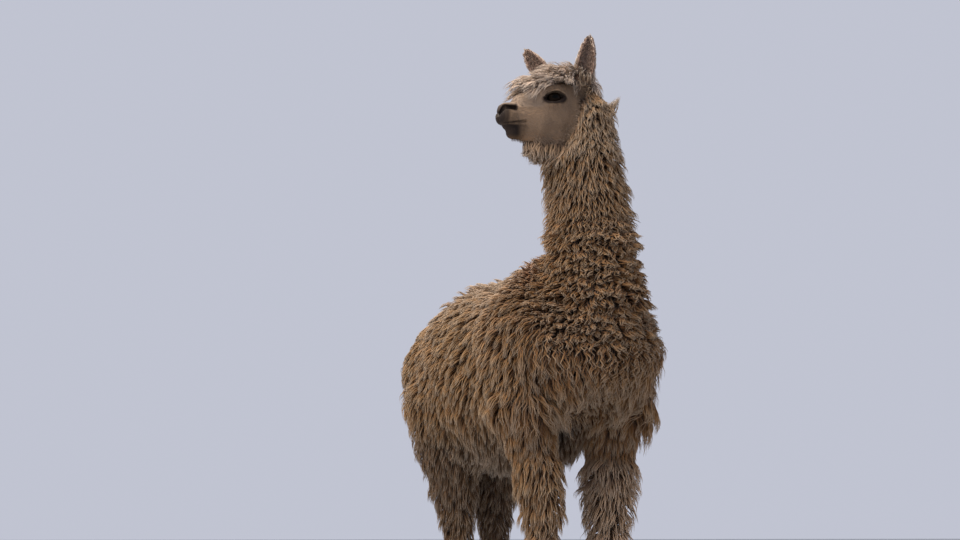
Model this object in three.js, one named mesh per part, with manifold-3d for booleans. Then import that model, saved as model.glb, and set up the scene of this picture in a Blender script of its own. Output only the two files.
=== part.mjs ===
// A life-size alpaca in full fleece. It stands square with its neck upright and
// its head turned a quarter turn to its right.
//
// Millimetres, +Z up. The trunk faces -Y and +X is the animal's left. The parts
// are modelled from a point on the ground between the front feet, and the whole
// group is then moved so that its origin is at the bottom centre of its box.
//
// Each part is the skin of a smooth field: a function of a point that is
// negative inside the part, zero on its surface and grows outside it. Sizes are
// those of the flesh, and every joint also states the depth of coat over it, so
// that the surfaces are those of the coat's tips.

import * as THREE from "three";
import { mergeVertices } from "three/addons/utils/BufferGeometryUtils.js";
import Module from "manifold-3d";

const wasm = await Module();
wasm.setup();

// ---- Driving sizes ---------------------------------------------------------

const GAP = 0.35; // between neighbouring solids
const SLIVER = 0.05; // the shortest edge that a cut leaves
const HUGE = 4000; // longer than anything on the animal
const EAR_LENGTH = 124;
const EYE_RADIUS = 20;
const EYE = { forward: 82, out: 40, up: -49 }; // on the head, from the poll
const POLL = [-75, -130, 1275]; // midway between the ear roots
const FRONT_FEET = { right: [-103, -20], left: [103, 5] };
const HIND_FEET = { right: [-68, 455], left: [68, 500] };

// Edge lengths of the facets
const CELL = { trunk: 52, neck: 41, head: 19.2, ear: 11, leg: 43, tail: 36, foot: 22, nail: 11 };

const colour = (hex, roughness) =>
  new THREE.MeshStandardMaterial({ color: hex, roughness, metalness: 0 });
const FLEECE = colour(0xb59a7c, 0.95);
const FACE = colour(0xc2ae98, 0.9);
const EYE_BLACK = colour(0x120c08, 0.12);
const NAIL_HORN = colour(0x4a3f36, 0.5);

// ---- Fields ----------------------------------------------------------------

const point = (x, y, z) => new THREE.Vector3(x, y, z);
const X = point(1, 0, 0);
const clamp = THREE.MathUtils.clamp;
const lerp = THREE.MathUtils.lerp;

// A place on the animal: half the flesh's width and depth there, and its coat.
const joint = (at, wide, deep, coat) => ({
  at: at.isVector3 ? at : point(...at),
  wide: wide + coat,
  deep: deep + coat,
});

// Nearly the distance outside an ellipsoid with its centre at the origin.
function oval(x, y, z, rx, ry, rz) {
  const reach = Math.hypot(x / rx, y / ry, z / rz);
  const slope = Math.hypot(x / rx / rx, y / ry / ry, z / rz / rz);
  return slope > 1e-9 ? (reach * (reach - 1)) / slope : -Math.min(rx, ry, rz);
}

function boxAround(...joints) {
  const box = new THREE.Box3();
  for (const { at, wide, deep } of joints) {
    const reach = Math.max(wide, deep);
    box.expandByPoint(at.clone().addScalar(reach));
    box.expandByPoint(at.clone().addScalar(-reach));
  }
  return box;
}

// An oval tube between two joints, with ends rounded over `cap` of their radius.
function bone(a, b, across, cap = 0.8) {
  const along = b.at.clone().sub(a.at);
  const length = along.length();
  along.divideScalar(length);
  const wide = across.clone().addScaledVector(along, -across.dot(along)).normalize();
  const deep = along.clone().cross(wide);
  const q = point();
  const at = (p) => {
    q.copy(p).sub(a.at);
    const far = q.dot(along);
    const t = clamp(far / length, 0, 1);
    const rWide = lerp(a.wide, b.wide, t);
    const rDeep = lerp(a.deep, b.deep, t);
    const past = far - t * length;
    return oval(q.dot(wide), q.dot(deep), past, rWide, rDeep, (cap * (rWide + rDeep)) / 2);
  };
  return { at, box: boxAround(a, b) };
}

// An ellipsoid, its radii along X, Y and Z.
const pad = (at, rx, ry, rz) => ({
  at: (p) => oval(p.x - at.x, p.y - at.y, p.z - at.z, rx, ry, rz),
  box: new THREE.Box3(
    point(at.x - rx, at.y - ry, at.z - rz),
    point(at.x + rx, at.y + ry, at.z + rz),
  ),
});

// Fields melted into one, over a seam about `soft` wide.
function blend(soft, ...fields) {
  const box = fields.reduce((all, f) => all.union(f.box), new THREE.Box3());
  const at = (p) => {
    let d = fields[0].at(p);
    for (const f of fields.slice(1)) {
      const other = f.at(p);
      const near = Math.max(soft - Math.abs(d - other), 0);
      d = Math.min(d, other) - (near * near) / (4 * soft);
    }
    return d;
  };
  return { at, box };
}

const chain = (joints, across, soft, cap) =>
  blend(soft, ...joints.slice(1).map((b, i) => bone(joints[i], b, across, cap)));

// The part of a field inside a box, for meshing a stretch of the animal.
function within(box, body) {
  const middle = box.getCenter(point());
  const half = box.getSize(point()).multiplyScalar(0.5);
  const at = (p) =>
    Math.max(
      body.at(p),
      Math.abs(p.x - middle.x) - half.x,
      Math.abs(p.y - middle.y) - half.y,
      Math.abs(p.z - middle.z) - half.z,
    );
  return { at, box };
}

// ---- From a field to a solid -----------------------------------------------

const AXES = [
  [0, 1, 2],
  [1, 2, 0],
  [2, 0, 1],
];
const CORNERS = [0, 1, 2, 3, 4, 5, 6, 7].map((n) => [n & 1, (n >> 1) & 1, (n >> 2) & 1]);
const EDGES = CORNERS.flatMap((_, n) => [1, 2, 4].map((step) => [n, n | step])).filter(
  ([a, b]) => a !== b,
);

function slopeOf(at, p, step) {
  const slope = point();
  const probe = point();
  for (const axis of [0, 1, 2]) {
    const high = at(probe.copy(p).setComponent(axis, p.getComponent(axis) + step));
    const low = at(probe.copy(p).setComponent(axis, p.getComponent(axis) - step));
    slope.setComponent(axis, (high - low) / (2 * step));
  }
  return slope;
}

// Meshes where a field is zero: a vertex in each cell that the surface crosses,
// a quad round each edge that it crosses, and then every vertex is slid onto
// the surface.
function skinOf({ at, box }, cell) {
  const low = box.min.clone().addScalar(-1.5 * cell);
  const size = box.getSize(point()).divideScalar(cell);
  const count = size.toArray().map((n) => Math.ceil(n) + 4);
  const stride = [1, count[0], count[0] * count[1]];
  const values = new Float32Array(count[0] * count[1] * count[2]);
  const place = (n) =>
    point(
      n % count[0],
      Math.floor(n / stride[1]) % count[1],
      Math.floor(n / stride[2]),
    );
  for (let n = 0; n < values.length; n++)
    values[n] = at(place(n).multiplyScalar(cell).add(low));

  const corner = CORNERS.map((c) => c[0] + c[1] * stride[1] + c[2] * stride[2]);
  const vertexIn = new Map();
  const vertices = [];
  for (let n = 0; n < values.length - corner[7]; n++) {
    const middle = point();
    let crossings = 0;
    for (const [a, b] of EDGES) {
      const [va, vb] = [values[n + corner[a]], values[n + corner[b]]];
      if (va < 0 === vb < 0) continue;
      const t = va / (va - vb);
      middle.add(point(...CORNERS[a]).lerp(point(...CORNERS[b]), t));
      crossings++;
    }
    if (crossings === 0) continue;
    vertexIn.set(n, vertices.length);
    vertices.push(middle.divideScalar(crossings).add(place(n)).multiplyScalar(cell).add(low));
  }

  for (const v of vertices) {
    for (let round = 0; round < 3; round++) {
      const slope = slopeOf(at, v, cell / 50);
      const step = at(v) / Math.max(slope.lengthSq(), 0.1);
      v.addScaledVector(slope, -clamp(step, -cell / 2, cell / 2));
    }
  }

  const triangles = [];
  for (const n of vertexIn.keys()) {
    for (const [a, b, c] of AXES) {
      if (values[n] < 0 === values[n + stride[a]] < 0) continue;
      const around = [n - stride[b] - stride[c], n - stride[c], n, n - stride[b]];
      const quad = around.map((m) => vertexIn.get(m));
      if (values[n] >= 0) quad.reverse();
      const [p, q, r, s] = quad.map((m) => vertices[m]);
      if (p.distanceTo(r) > q.distanceTo(s)) quad.push(quad.shift());
      triangles.push(quad[0], quad[1], quad[2], quad[0], quad[2], quad[3]);
    }
  }
  const geometry = new THREE.BufferGeometry().setFromPoints(vertices);
  return geometry.setIndex(triangles);
}

// Moves every facet of a closed mesh out by at least `gap`.
function grown(geometry, gap) {
  geometry.computeVertexNormals();
  const { position, normal } = geometry.attributes;
  const index = geometry.index.array;
  const lean = new Array(position.count).fill(1);
  const [a, b, c, n] = [point(), point(), point(), point()];
  for (let i = 0; i < index.length; i += 3) {
    const corners = [a, b, c].map((v, k) => v.fromBufferAttribute(position, index[i + k]));
    const facet = new THREE.Triangle(...corners).getNormal(point());
    for (const k of index.slice(i, i + 3))
      lean[k] = Math.min(lean[k], facet.dot(n.fromBufferAttribute(normal, k)));
  }
  for (let k = 0; k < position.count; k++) {
    const reach = gap / Math.max(lean[k], 0.3);
    a.fromBufferAttribute(position, k);
    a.addScaledVector(n.fromBufferAttribute(normal, k), reach);
    position.setXYZ(k, a.x, a.y, a.z);
  }
  return geometry;
}

function solidOf(geometry) {
  const bare = geometry.clone();
  bare.deleteAttribute("normal");
  bare.deleteAttribute("uv");
  const merged = mergeVertices(bare);
  const mesh = new wasm.Mesh({
    numProp: 3,
    vertProperties: merged.attributes.position.array,
    triVerts: new Uint32Array(merged.index.array),
  });
  return new wasm.Manifold(mesh);
}

const solid = (body, cell) => solidOf(skinOf(body, cell));
const paddedSolid = (body, cell) => solidOf(grown(skinOf(body, cell), GAP));

// Everything on the side of a plane that its normal points to.
function sideOf(at, normal) {
  const block = new THREE.BoxGeometry(HUGE, HUGE, HUGE).translate(0, 0, HUGE / 2 + GAP / 2);
  const turn = new THREE.Quaternion().setFromUnitVectors(point(0, 0, 1), normal);
  return solidOf(block.applyQuaternion(turn).translate(at.x, at.y, at.z));
}

function largestPiece(body) {
  const pieces = body.decompose();
  return pieces.reduce((best, piece) => (piece.volume() > best.volume() ? piece : best));
}

// A solid's mesh, with the slivers left along its cuts closed up.
function meshOf(body) {
  const { vertProperties, triVerts } = body.getMesh();
  const raw = new THREE.BufferGeometry();
  raw.setAttribute("position", new THREE.BufferAttribute(vertProperties, 3));
  raw.setIndex(new THREE.BufferAttribute(triVerts, 1));
  const geometry = mergeVertices(raw, SLIVER);
  const kept = [];
  for (let i = 0; i < triVerts.length; i += 3) {
    const facet = geometry.index.array.slice(i, i + 3);
    if (new Set(facet).size === 3) kept.push(...facet);
  }
  return geometry.setIndex(kept);
}

const alpaca = new THREE.Group();

function addPart(name, body, material) {
  const geometry = meshOf(largestPiece(body));
  geometry.computeVertexNormals();
  const mesh = new THREE.Mesh(geometry, material);
  mesh.name = name;
  alpaca.add(mesh);
}

// ---- Trunk, neck and tail --------------------------------------------------

const trunkJoints = [
  joint([0, -45, 602], 168, 140, 50),
  joint([0, 70, 612], 186, 194, 52),
  joint([0, 230, 590], 190, 206, 52),
  joint([0, 390, 597], 182, 196, 50),
  joint([0, 520, 620], 162, 172, 48),
  joint([0, 597, 645], 112, 128, 45),
];
const withers = pad(point(0, 60, 732), 112, 170, 112);
const loin = pad(point(0, 370, 742), 124, 104, 124);
const shoulders = [1, -1].map((side) => pad(point(side * 146, 25, 500), 90, 118, 100));

const neckJoints = [
  joint([4, -75, 660], 106, 128, 45),
  joint([0, -105, 750], 88, 98, 45),
  joint([-16, -115, 870], 74, 82, 44),
  joint([-30, -122, 998], 65, 70, 38),
  joint([-48, -127, 1086], 61, 66, 37),
  joint([-58, -130, 1190], 58, 60, 36),
  joint([-70, -130, 1232], 50, 50, 30),
];

const tailJoints = [
  joint([0, 632, 738], 26, 26, 26),
  joint([0, 696, 712], 22, 20, 32),
  joint([0, 728, 650], 15, 14, 34),
  joint([0, 722, 582], 8, 8, 26),
];

// ---- Head, in its own frame: forward, out to its left, up ------------------

const headTurn = new THREE.Quaternion().setFromAxisAngle(point(0, 0, 1), -Math.PI / 2);
const onHead = (forward, out, up) =>
  point(out, -forward, up).applyQuaternion(headTurn).add(point(...POLL));
const headAcross = X.clone().applyQuaternion(headTurn);
const BARE = 3; // the face's short hair
const facePad = (f, out, up, along, wide, deep, coat = BARE) =>
  pad(onHead(f, out, up), along + coat, wide + coat, deep + coat);
const faceBone = (from, to, cap) => bone(joint(...from), joint(...to), headAcross, cap);
const pair = (make) => [make(1), make(-1)];

function headField() {
  const cranium = facePad(14, 0, -14, 62, 48, 44, 8);
  const topknot = faceBone(
    [onHead(8, 0, 8), 34, 26, 24],
    [onHead(92, 0, 6), 28, 18, 22],
  );
  const fringe = faceBone(
    [onHead(92, 0, 6), 30, 18, 20],
    [onHead(150, 0, -32), 16, 8, 8],
  );
  const bridge = faceBone(
    [onHead(52, 0, -32), 46, 44, BARE],
    [onHead(158, 0, -68), 26, 28, BARE],
  );
  const nose = facePad(178, 0, -86, 26, 26, 27);
  const upperLips = pair((s) => facePad(191, 11 * s, -101, 21, 15, 18));
  const jaw = faceBone(
    [onHead(62, 0, -112), 36, 46, 8],
    [onHead(174, 0, -130), 20, 20, BARE],
  );
  const cheeks = pair((s) => facePad(52, 28 * s, -74, 48, 24, 46, 4));
  const brows = pair((s) => facePad(80, 40 * s, -28, 28, 18, 14, 4));
  const throat = faceBone(
    [onHead(20, 0, -120), 40, 44, 26],
    [onHead(122, 0, -168), 16, 12, 16],
  );
  const skull = blend(16, cranium, bridge, ...cheeks, ...brows, jaw, nose, ...upperLips);
  return blend(14, skull, blend(24, topknot, fringe), throat);
}

// An ear: a leaf that tapers to its tip, and the cup on the side that it opens to.
function earFields(root, tip, opening) {
  const along = tip.clone().sub(root).normalize();
  const open = opening.clone().addScaledVector(along, -opening.dot(along)).normalize();
  const across = along.clone().cross(open);
  const station = (share, wide, deep, forward) => ({
    at: root.clone().addScaledVector(along, share * EAR_LENGTH).addScaledVector(open, forward),
    wide,
    deep,
  });
  const leaf = [
    station(-0.12, 17, 16, 0),
    station(0.18, 20, 16, 0),
    station(0.48, 22, 15, 0),
    station(0.78, 15, 10, 0),
    station(0.98, 4.5, 5, 0),
  ];
  const cup = [
    station(0.14, 10, 9, 10),
    station(0.48, 16, 12, 12),
    station(0.8, 7, 6, 8),
    station(0.9, 3, 4, 6),
  ];
  return { leaf: chain(leaf, across, 12, 0.9), cup: chain(cup, across, 8, 0.9) };
}

const ears = {
  left: earFields(onHead(-6, 40, 2), onHead(-17, 55, 118), point(-0.35, -1, 0.1)),
  right: earFields(onHead(26, -43, 12), onHead(85, -93, 107), point(-0.62, -0.72, -0.3)),
};
const eyeSphere = (side, grow = 0) =>
  solidOf(
    new THREE.SphereGeometry(EYE_RADIUS + grow, 12, 9).translate(
      ...onHead(EYE.forward, EYE.out * side, EYE.up).toArray(),
    ),
  );

// ---- Legs and feet ---------------------------------------------------------

function frontLeg(side, [x, y]) {
  return [
    joint([side * 122, 20, 470], 62, 72, 30),
    joint([side * 116, 12, 400], 44, 54, 32),
    joint([x + side * 6, y * 0.5, 335], 36, 42, 36),
    joint([x + side * 2, y * 0.8, 270], 32, 35, 38),
    joint([x, y, 215], 24, 28, 31),
    joint([x, y + 3, 150], 20, 24, 27),
    joint([x, y + 2, 92], 19, 22, 17),
    joint([x, y - 6, 58], 18, 20, 8),
  ];
}

function hindLeg(side, [x, y]) {
  return [
    joint([side * 112, y + 15, 520], 78, 98, 46),
    joint([side * 100, y + 10, 400], 56, 72, 42),
    joint([x + side * 12, y + 28, 325], 36, 46, 42),
    joint([x + side * 4, y + 34, 265], 29, 38, 32),
    joint([x + side * 2, y + 24, 205], 23, 29, 23),
    joint([x, y + 14, 140], 20, 24, 20),
    joint([x, y + 6, 92], 20, 22, 14),
    joint([x, y - 4, 58], 19, 20, 8),
  ];
}

const TOE_SPREAD = 18;
const toeTip = ([x, y], toe) => point(x + toe * (TOE_SPREAD + 3), y - 58, 18);

// Two toes on soft pads, each with a nail over its tip.
function footField([x, y]) {
  const pastern = bone(joint([x, y, 64], 20, 22, 6), joint([x, y - 16, 38], 27, 25, 5), X);
  const toes = pair((toe) =>
    chain(
      [
        joint([x + toe * 13, y + 14, 21], 16, 20, 4),
        joint([x + toe * TOE_SPREAD, y - 28, 19], 15, 18, 3),
        joint(toeTip([x, y], toe), 12, 13, 2),
      ],
      X,
      6,
    ),
  );
  return blend(9, pastern, ...toes);
}

function nailField(foot, toe) {
  const root = toeTip(foot, toe);
  const joints = [
    { at: root.clone().add(point(0, 8, 9)), wide: 9, deep: 7 },
    { at: root.clone().add(point(0, -12, 5)), wide: 8.5, deep: 7 },
    { at: root.clone().add(point(0, -24, -8)), wide: 4, deep: 4.5 },
  ];
  return chain(joints, X, 5, 1);
}

// ---- Cuts between neighbours -----------------------------------------------

// The neck leaves the trunk in front of the withers, and meets the head on a
// slope from behind the ears to the throat.
const neckRoot = { at: point(0, -60, 760), normal: point(0, -0.72, 0.69).normalize() };
const throatLatch = { at: onHead(-20, 0, -95), normal: point(-0.68, 0, 0.73).normalize() };
const above = ({ at, normal }) => sideOf(at, normal);
const below = ({ at, normal }) => sideOf(at, normal.clone().negate());

const trunkAndNeck = blend(
  46,
  blend(20, chain(trunkJoints, X, 16, 0.85), withers, loin, ...shoulders),
  chain(neckJoints, X, 12),
);
const headAndNeck = blend(22, headField(), chain(neckJoints.slice(2), X, 12));
const stretch = (x0, x1, y0, y1, z0, z1) =>
  new THREE.Box3(point(x0, y0, z0), point(x1, y1, z1));
const trunkStretch = stretch(-290, 290, -330, 780, 280, 900);
const neckStretch = stretch(-230, 230, -330, 120, 560, 1330);
const headStretch = stretch(-330, 110, -300, 30, 1000, 1400);

// ---- The animal ------------------------------------------------------------

const trunkField = within(trunkStretch, trunkAndNeck);
const paddedTrunk = paddedSolid(trunkField, CELL.trunk);
addPart("trunk", solid(trunkField, CELL.trunk).intersect(below(neckRoot)), FLEECE);

const tail = solid(chain(tailJoints, X, 12), CELL.tail);
addPart("tail", tail.subtract(paddedTrunk), FLEECE);

const wholeNeck = blend(8, trunkAndNeck, headAndNeck);
const neck = solid(within(neckStretch, wholeNeck), CELL.neck)
  .intersect(above(neckRoot))
  .intersect(below(throatLatch));
addPart("neck", neck, FLEECE);

const wholeHead = within(headStretch, headAndNeck);
const paddedHead = paddedSolid(wholeHead, CELL.head);
let head = solid(wholeHead, CELL.head).intersect(above(throatLatch));
for (const side of [1, -1]) head = head.subtract(eyeSphere(side, GAP));
addPart("head", head, FACE);

for (const [name, side] of [
  ["left", 1],
  ["right", -1],
]) {
  const { leaf, cup } = ears[name];
  const ear = solid(leaf, CELL.ear).subtract(solid(cup, CELL.ear));
  addPart(`ear_${name}`, ear.subtract(paddedHead), FACE);
  addPart(`eye_${name}`, eyeSphere(side), EYE_BLACK);

  for (const [row, feet, joints] of [
    ["front", FRONT_FEET, frontLeg],
    ["hind", HIND_FEET, hindLeg],
  ]) {
    const spot = feet[name];
    const ground = sideOf(point(0, 0, -GAP / 2), point(0, 0, 1));
    const paddedFoot = paddedSolid(footField(spot), CELL.foot);
    let foot = solid(footField(spot), CELL.foot).intersect(ground);
    for (const [place, toe] of [
      ["inner", -side],
      ["outer", side],
    ]) {
      const claw = nailField(spot, toe);
      addPart(`nail_${row}_${name}_${place}`, solid(claw, CELL.nail), NAIL_HORN);
      foot = foot.subtract(paddedSolid(claw, CELL.nail));
    }
    addPart(`foot_${row}_${name}`, foot, FLEECE);
    const leg = solid(chain(joints(side, spot), X, 12), CELL.leg);
    addPart(`leg_${row}_${name}`, leg.subtract(paddedTrunk).subtract(paddedFoot), FLEECE);
  }
}

const box = new THREE.Box3().setFromObject(alpaca);
alpaca.position.set(-(box.min.x + box.max.x) / 2, -(box.min.y + box.max.y) / 2, 0);

export default alpaca;
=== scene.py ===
"""The looks of a life-size alpaca in full fleece: one skin, its eyes and nails, and a coat of locks.

Shapes are worked out in millimetres in the animal's own frame, the one that its solids are built in:
the origin is on the ground midway between the front feet, the trunk faces -Y and +X is its left.
Skin is the zero of a smooth field, as the solids are, but without the coat, and with the face's details.
A lock of wool starts on the skin, and is grown step by step along the lie of the coat over that field.
"""

import math

import bpy
import numpy as np
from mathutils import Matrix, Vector
from mathutils.kdtree import KDTree


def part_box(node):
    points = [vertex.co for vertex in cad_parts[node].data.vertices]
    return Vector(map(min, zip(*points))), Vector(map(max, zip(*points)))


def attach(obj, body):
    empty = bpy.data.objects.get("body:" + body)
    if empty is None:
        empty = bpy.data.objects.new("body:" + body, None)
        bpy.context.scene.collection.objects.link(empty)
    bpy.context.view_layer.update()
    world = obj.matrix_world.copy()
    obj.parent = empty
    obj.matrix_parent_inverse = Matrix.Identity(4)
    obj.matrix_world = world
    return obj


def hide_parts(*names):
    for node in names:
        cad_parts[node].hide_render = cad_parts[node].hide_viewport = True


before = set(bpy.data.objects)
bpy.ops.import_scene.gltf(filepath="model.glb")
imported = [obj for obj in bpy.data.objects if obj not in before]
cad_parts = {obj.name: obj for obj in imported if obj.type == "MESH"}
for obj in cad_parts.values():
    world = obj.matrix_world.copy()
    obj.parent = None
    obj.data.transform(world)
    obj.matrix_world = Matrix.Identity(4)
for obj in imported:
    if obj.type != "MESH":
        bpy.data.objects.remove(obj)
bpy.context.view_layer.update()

MM = 0.001
RNG = np.random.default_rng(11)
SIDES = (1, -1)  # also the two toes of a foot
SIDE_NAMES = {1: "left", -1: "right"}  # the animal's own

# ---- Places on the animal, in millimetres ----

POLL = np.array([-75.0, -130.0, 1275.0])
EYE = np.array([82.0, 40.0, -50.0])  # on the head: forward, out to its left, up
EYE_RADIUS = 20.0
EAR_LENGTH = 120.0
FRONT_FEET = {1: (103, 5), -1: (-103, -20)}  # by side
HIND_FEET = {1: (68, 500), -1: (-68, 455)}
TOE_SPREAD = 18

HEAD_AXES = np.array([[-1.0, 0, 0], [0, -1, 0], [0, 0, 1]])  # forward, left, up


def on_head(*place):
    """A place that is given forward, to the left and up from the poll."""
    return POLL + np.array(place, float) @ HEAD_AXES


def head_place(points):
    return (points - POLL) @ HEAD_AXES.T


def middle(node):
    low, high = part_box(node)
    return np.array((low + high) / 2)


EYE_NODES_MIDDLE = on_head(82, 0, -49)
SHIFT = (middle("eye_left") + middle("eye_right")) / 2 - EYE_NODES_MIDDLE * MM


def to_frame(points):
    return points * MM + SHIFT


# ---- Fields: negative inside, about the distance outside ----

REACH = 70.0  # a shape further away than this is not worked out, and counts as far
FAR = 1000.0
TINY = 1e-9


def unit(v):
    v = np.asarray(v, float)
    return v / np.maximum(np.linalg.norm(v, axis=-1, keepdims=True), TINY)


def oval(q, radii):
    a = q / radii
    reach = np.linalg.norm(a, axis=1)
    slope = np.linalg.norm(a / radii, axis=1)
    inside = -np.min(np.broadcast_to(radii, q.shape), axis=1)
    return np.where(slope > 1e-7, reach * (reach - 1) / np.maximum(slope, TINY), inside)


class Field:
    """A field with a box round it, outside which it is only known to be far."""

    def __init__(self, at, low, high, coat=None, parts=()):
        self.inner, self.coat_at, self.parts = at, coat, parts
        self.low, self.high = np.array(low, float), np.array(high, float)
        self.reach = REACH

    def within(self, reach):
        """Works the field and its parts out only this close to them, which saves time."""
        self.reach = min(self.reach, reach)
        for part in self.parts:
            part.within(reach)
        return self

    def at(self, points):
        out = np.full(len(points), FAR)
        near = np.all((points > self.low - self.reach) & (points < self.high + self.reach), axis=1)
        if near.any():
            out[near] = self.inner(points[near])
        return out


def joint(at, wide, deep, coat=0):
    return dict(at=np.array(at, float), wide=wide, deep=deep, coat=coat)


def joints(*rows):
    return [joint(*row) for row in rows]


def bone(a, b, across=(1, 0, 0), cap=0.8):
    """An oval tube between two joints, rounded at its ends over `cap` of their radius."""
    along = b["at"] - a["at"]
    length = np.linalg.norm(along)
    along = along / length
    wide = unit(np.array(across, float) - along * (along @ np.array(across, float)))
    deep = np.cross(along, wide)

    def inner(points):
        q = points - a["at"]
        far = q @ along
        t = np.clip(far / length, 0, 1)
        r_wide = a["wide"] + (b["wide"] - a["wide"]) * t
        r_deep = a["deep"] + (b["deep"] - a["deep"]) * t
        local = np.stack([q @ wide, q @ deep, far - t * length], 1)
        return oval(local, np.stack([r_wide, r_deep, cap * (r_wide + r_deep) / 2], 1))

    def coat(points):
        share = np.clip((points - a["at"]) @ along / length, 0, 1)
        return a["coat"] + (b["coat"] - a["coat"]) * share

    reach = np.array([max(j["wide"], j["deep"]) for j in (a, b)])
    ends = np.array([a["at"], b["at"]])
    low, high = (ends - reach[:, None]).min(0), (ends + reach[:, None]).max(0)
    return Field(inner, low, high, coat)


def pad(at, radii, axes=None):
    """An ellipsoid, its radii along X, Y and Z or along the rows of `axes`."""
    at, radii = np.array(at, float), np.array(radii, float)
    turn = np.eye(3) if axes is None else np.array(axes, float)
    reach = np.max(radii)
    return Field(lambda p: oval((p - at) @ turn.T, radii), at - reach, at + reach)


def soft_min(d, other, soft):
    close = np.maximum(soft - np.abs(d - other), 0)
    return np.minimum(d, other) - close * close / (4 * soft)


def merged_box(fields):
    return np.min([f.low for f in fields], axis=0), np.max([f.high for f in fields], axis=0)


def blend(soft, *fields):
    def inner(points):
        d = fields[0].at(points)
        for f in fields[1:]:
            d = soft_min(d, f.at(points), soft)
        return d

    return Field(inner, *merged_box(fields), parts=fields)


def carve(soft, body, *holes):
    """Takes holes out of a body, with edges rounded over `soft`."""

    def inner(points):
        d = body.at(points)
        for hole in holes:
            d = -soft_min(-d, hole.at(points), soft)
        return d

    return Field(inner, body.low, body.high, parts=(body, *holes))


def overlap(*fields):
    low = np.max([f.low for f in fields], axis=0)
    high = np.min([f.high for f in fields], axis=0)
    return Field(lambda p: np.max([f.at(p) for f in fields], axis=0), low, high, parts=fields)


def chain_bones(stops, across=(1, 0, 0), cap=0.8):
    return [bone(a, b, across, cap) for a, b in zip(stops, stops[1:])]


def chain(stops, across=(1, 0, 0), soft=12, cap=0.8):
    return blend(soft, *chain_bones(stops, across, cap))


TETRAHEDRON = np.array([[1, -1, -1], [-1, -1, 1], [-1, 1, -1], [1, 1, 1]], float)


def slope_of(field_at, points, step=0.6):
    """The field's gradient, from four samples at the corners of a tetrahedron."""
    total = sum(c * field_at(points + c * step)[:, None] for c in TETRAHEDRON)
    return total / (4 * step)


# ---- The skeleton: flesh and, last, the coat's depth over it ----

TRUNK = joints(
    ((0, -45, 624), 176, 124, 50),
    ((0, 70, 632), 190, 174, 52),
    ((0, 230, 590), 190, 206, 52),
    ((0, 390, 597), 182, 196, 50),
    ((0, 520, 620), 162, 172, 48),
    ((0, 597, 645), 112, 128, 45),
)
NECK = joints(
    ((4, -75, 660), 106, 128, 45),
    ((0, -105, 750), 88, 98, 45),
    ((-16, -115, 870), 74, 82, 44),
    ((-30, -122, 998), 65, 70, 38),
    ((-48, -127, 1086), 61, 66, 37),
    ((-58, -130, 1190), 56, 58, 34),
    ((-70, -130, 1232), 46, 48, 28),
)
TAIL = joints(
    ((0, 632, 738), 26, 26, 26),
    ((0, 696, 712), 22, 20, 32),
    ((0, 728, 650), 15, 14, 32),
    ((0, 722, 582), 8, 8, 24),
)


def front_leg(side, foot):
    x, y = foot
    return joints(
        ((side * 122, 20, 470), 62, 72, 30),
        ((side * 116, 12, 400), 44, 54, 32),
        ((x + side * 6, y * 0.5, 335), 36, 42, 34),
        ((x + side * 2, y * 0.8, 270), 32, 35, 34),
        ((x, y, 215), 24, 28, 30),
        ((x, y + 3, 150), 20, 24, 26),
        ((x, y + 2, 92), 19, 22, 15),
        ((x, y - 6, 58), 18, 20, 7),
    )


def hind_leg(side, foot):
    x, y = foot
    return joints(
        ((side * 112, y + 15, 520), 78, 98, 44),
        ((side * 100, y + 10, 400), 56, 72, 40),
        ((x + side * 12, y + 28, 325), 36, 46, 38),
        ((x + side * 4, y + 34, 265), 29, 38, 30),
        ((x + side * 2, y + 24, 205), 23, 29, 22),
        ((x, y + 14, 140), 20, 24, 18),
        ((x, y + 6, 92), 20, 22, 12),
        ((x, y - 4, 58), 19, 20, 7),
    )


# Each leg's joints and its foot's place
LEGS = [
    (leg(side, feet[side]), feet[side])
    for leg, feet in ((front_leg, FRONT_FEET), (hind_leg, HIND_FEET))
    for side in SIDES
]


def toe_tip(foot, toe):
    return np.array([foot[0] + toe * (TOE_SPREAD + 3), foot[1] - 58.0, 18.0])


def foot_field(foot):
    """Two toes on soft pads, with the cleft between them."""
    x, y = foot
    pastern = bone(joint((x, y, 64), 19, 21), joint((x, y - 16, 38), 26, 24))
    toes = []
    for toe in SIDES:
        heel, ball = (x + toe * 13, y + 14, 21), (x + toe * TOE_SPREAD, y - 28, 19)
        toes.append(chain(joints((heel, 16, 20), (ball, 15, 18), (toe_tip(foot, toe), 12, 13)), soft=6))
    return blend(9, pastern, *toes)


def nail_field(foot, toe):
    tip = toe_tip(foot, toe)
    stops = (tip + (0, 8, 9), 9, 7), (tip + (0, -12, 5), 8.5, 7), (tip + (0, -24, -8), 4, 4.5)
    return chain(joints(*stops), soft=5, cap=1)


# ---- The head ----

HEAD_ACROSS = on_head(0, 1, 0) - POLL
HEAD_REACH = 34.0
DETAIL_REACH = 16.0  # for the small features of the face


def head_pad(f, out, up, along, wide, deep):
    return pad(on_head(f, out, up), (along, wide, deep))


def head_bone(*ends, cap=0.8):
    a, b = [joint(on_head(*e[:3]), *e[3:]) for e in ends]
    return bone(a, b, HEAD_ACROSS, cap)


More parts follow.
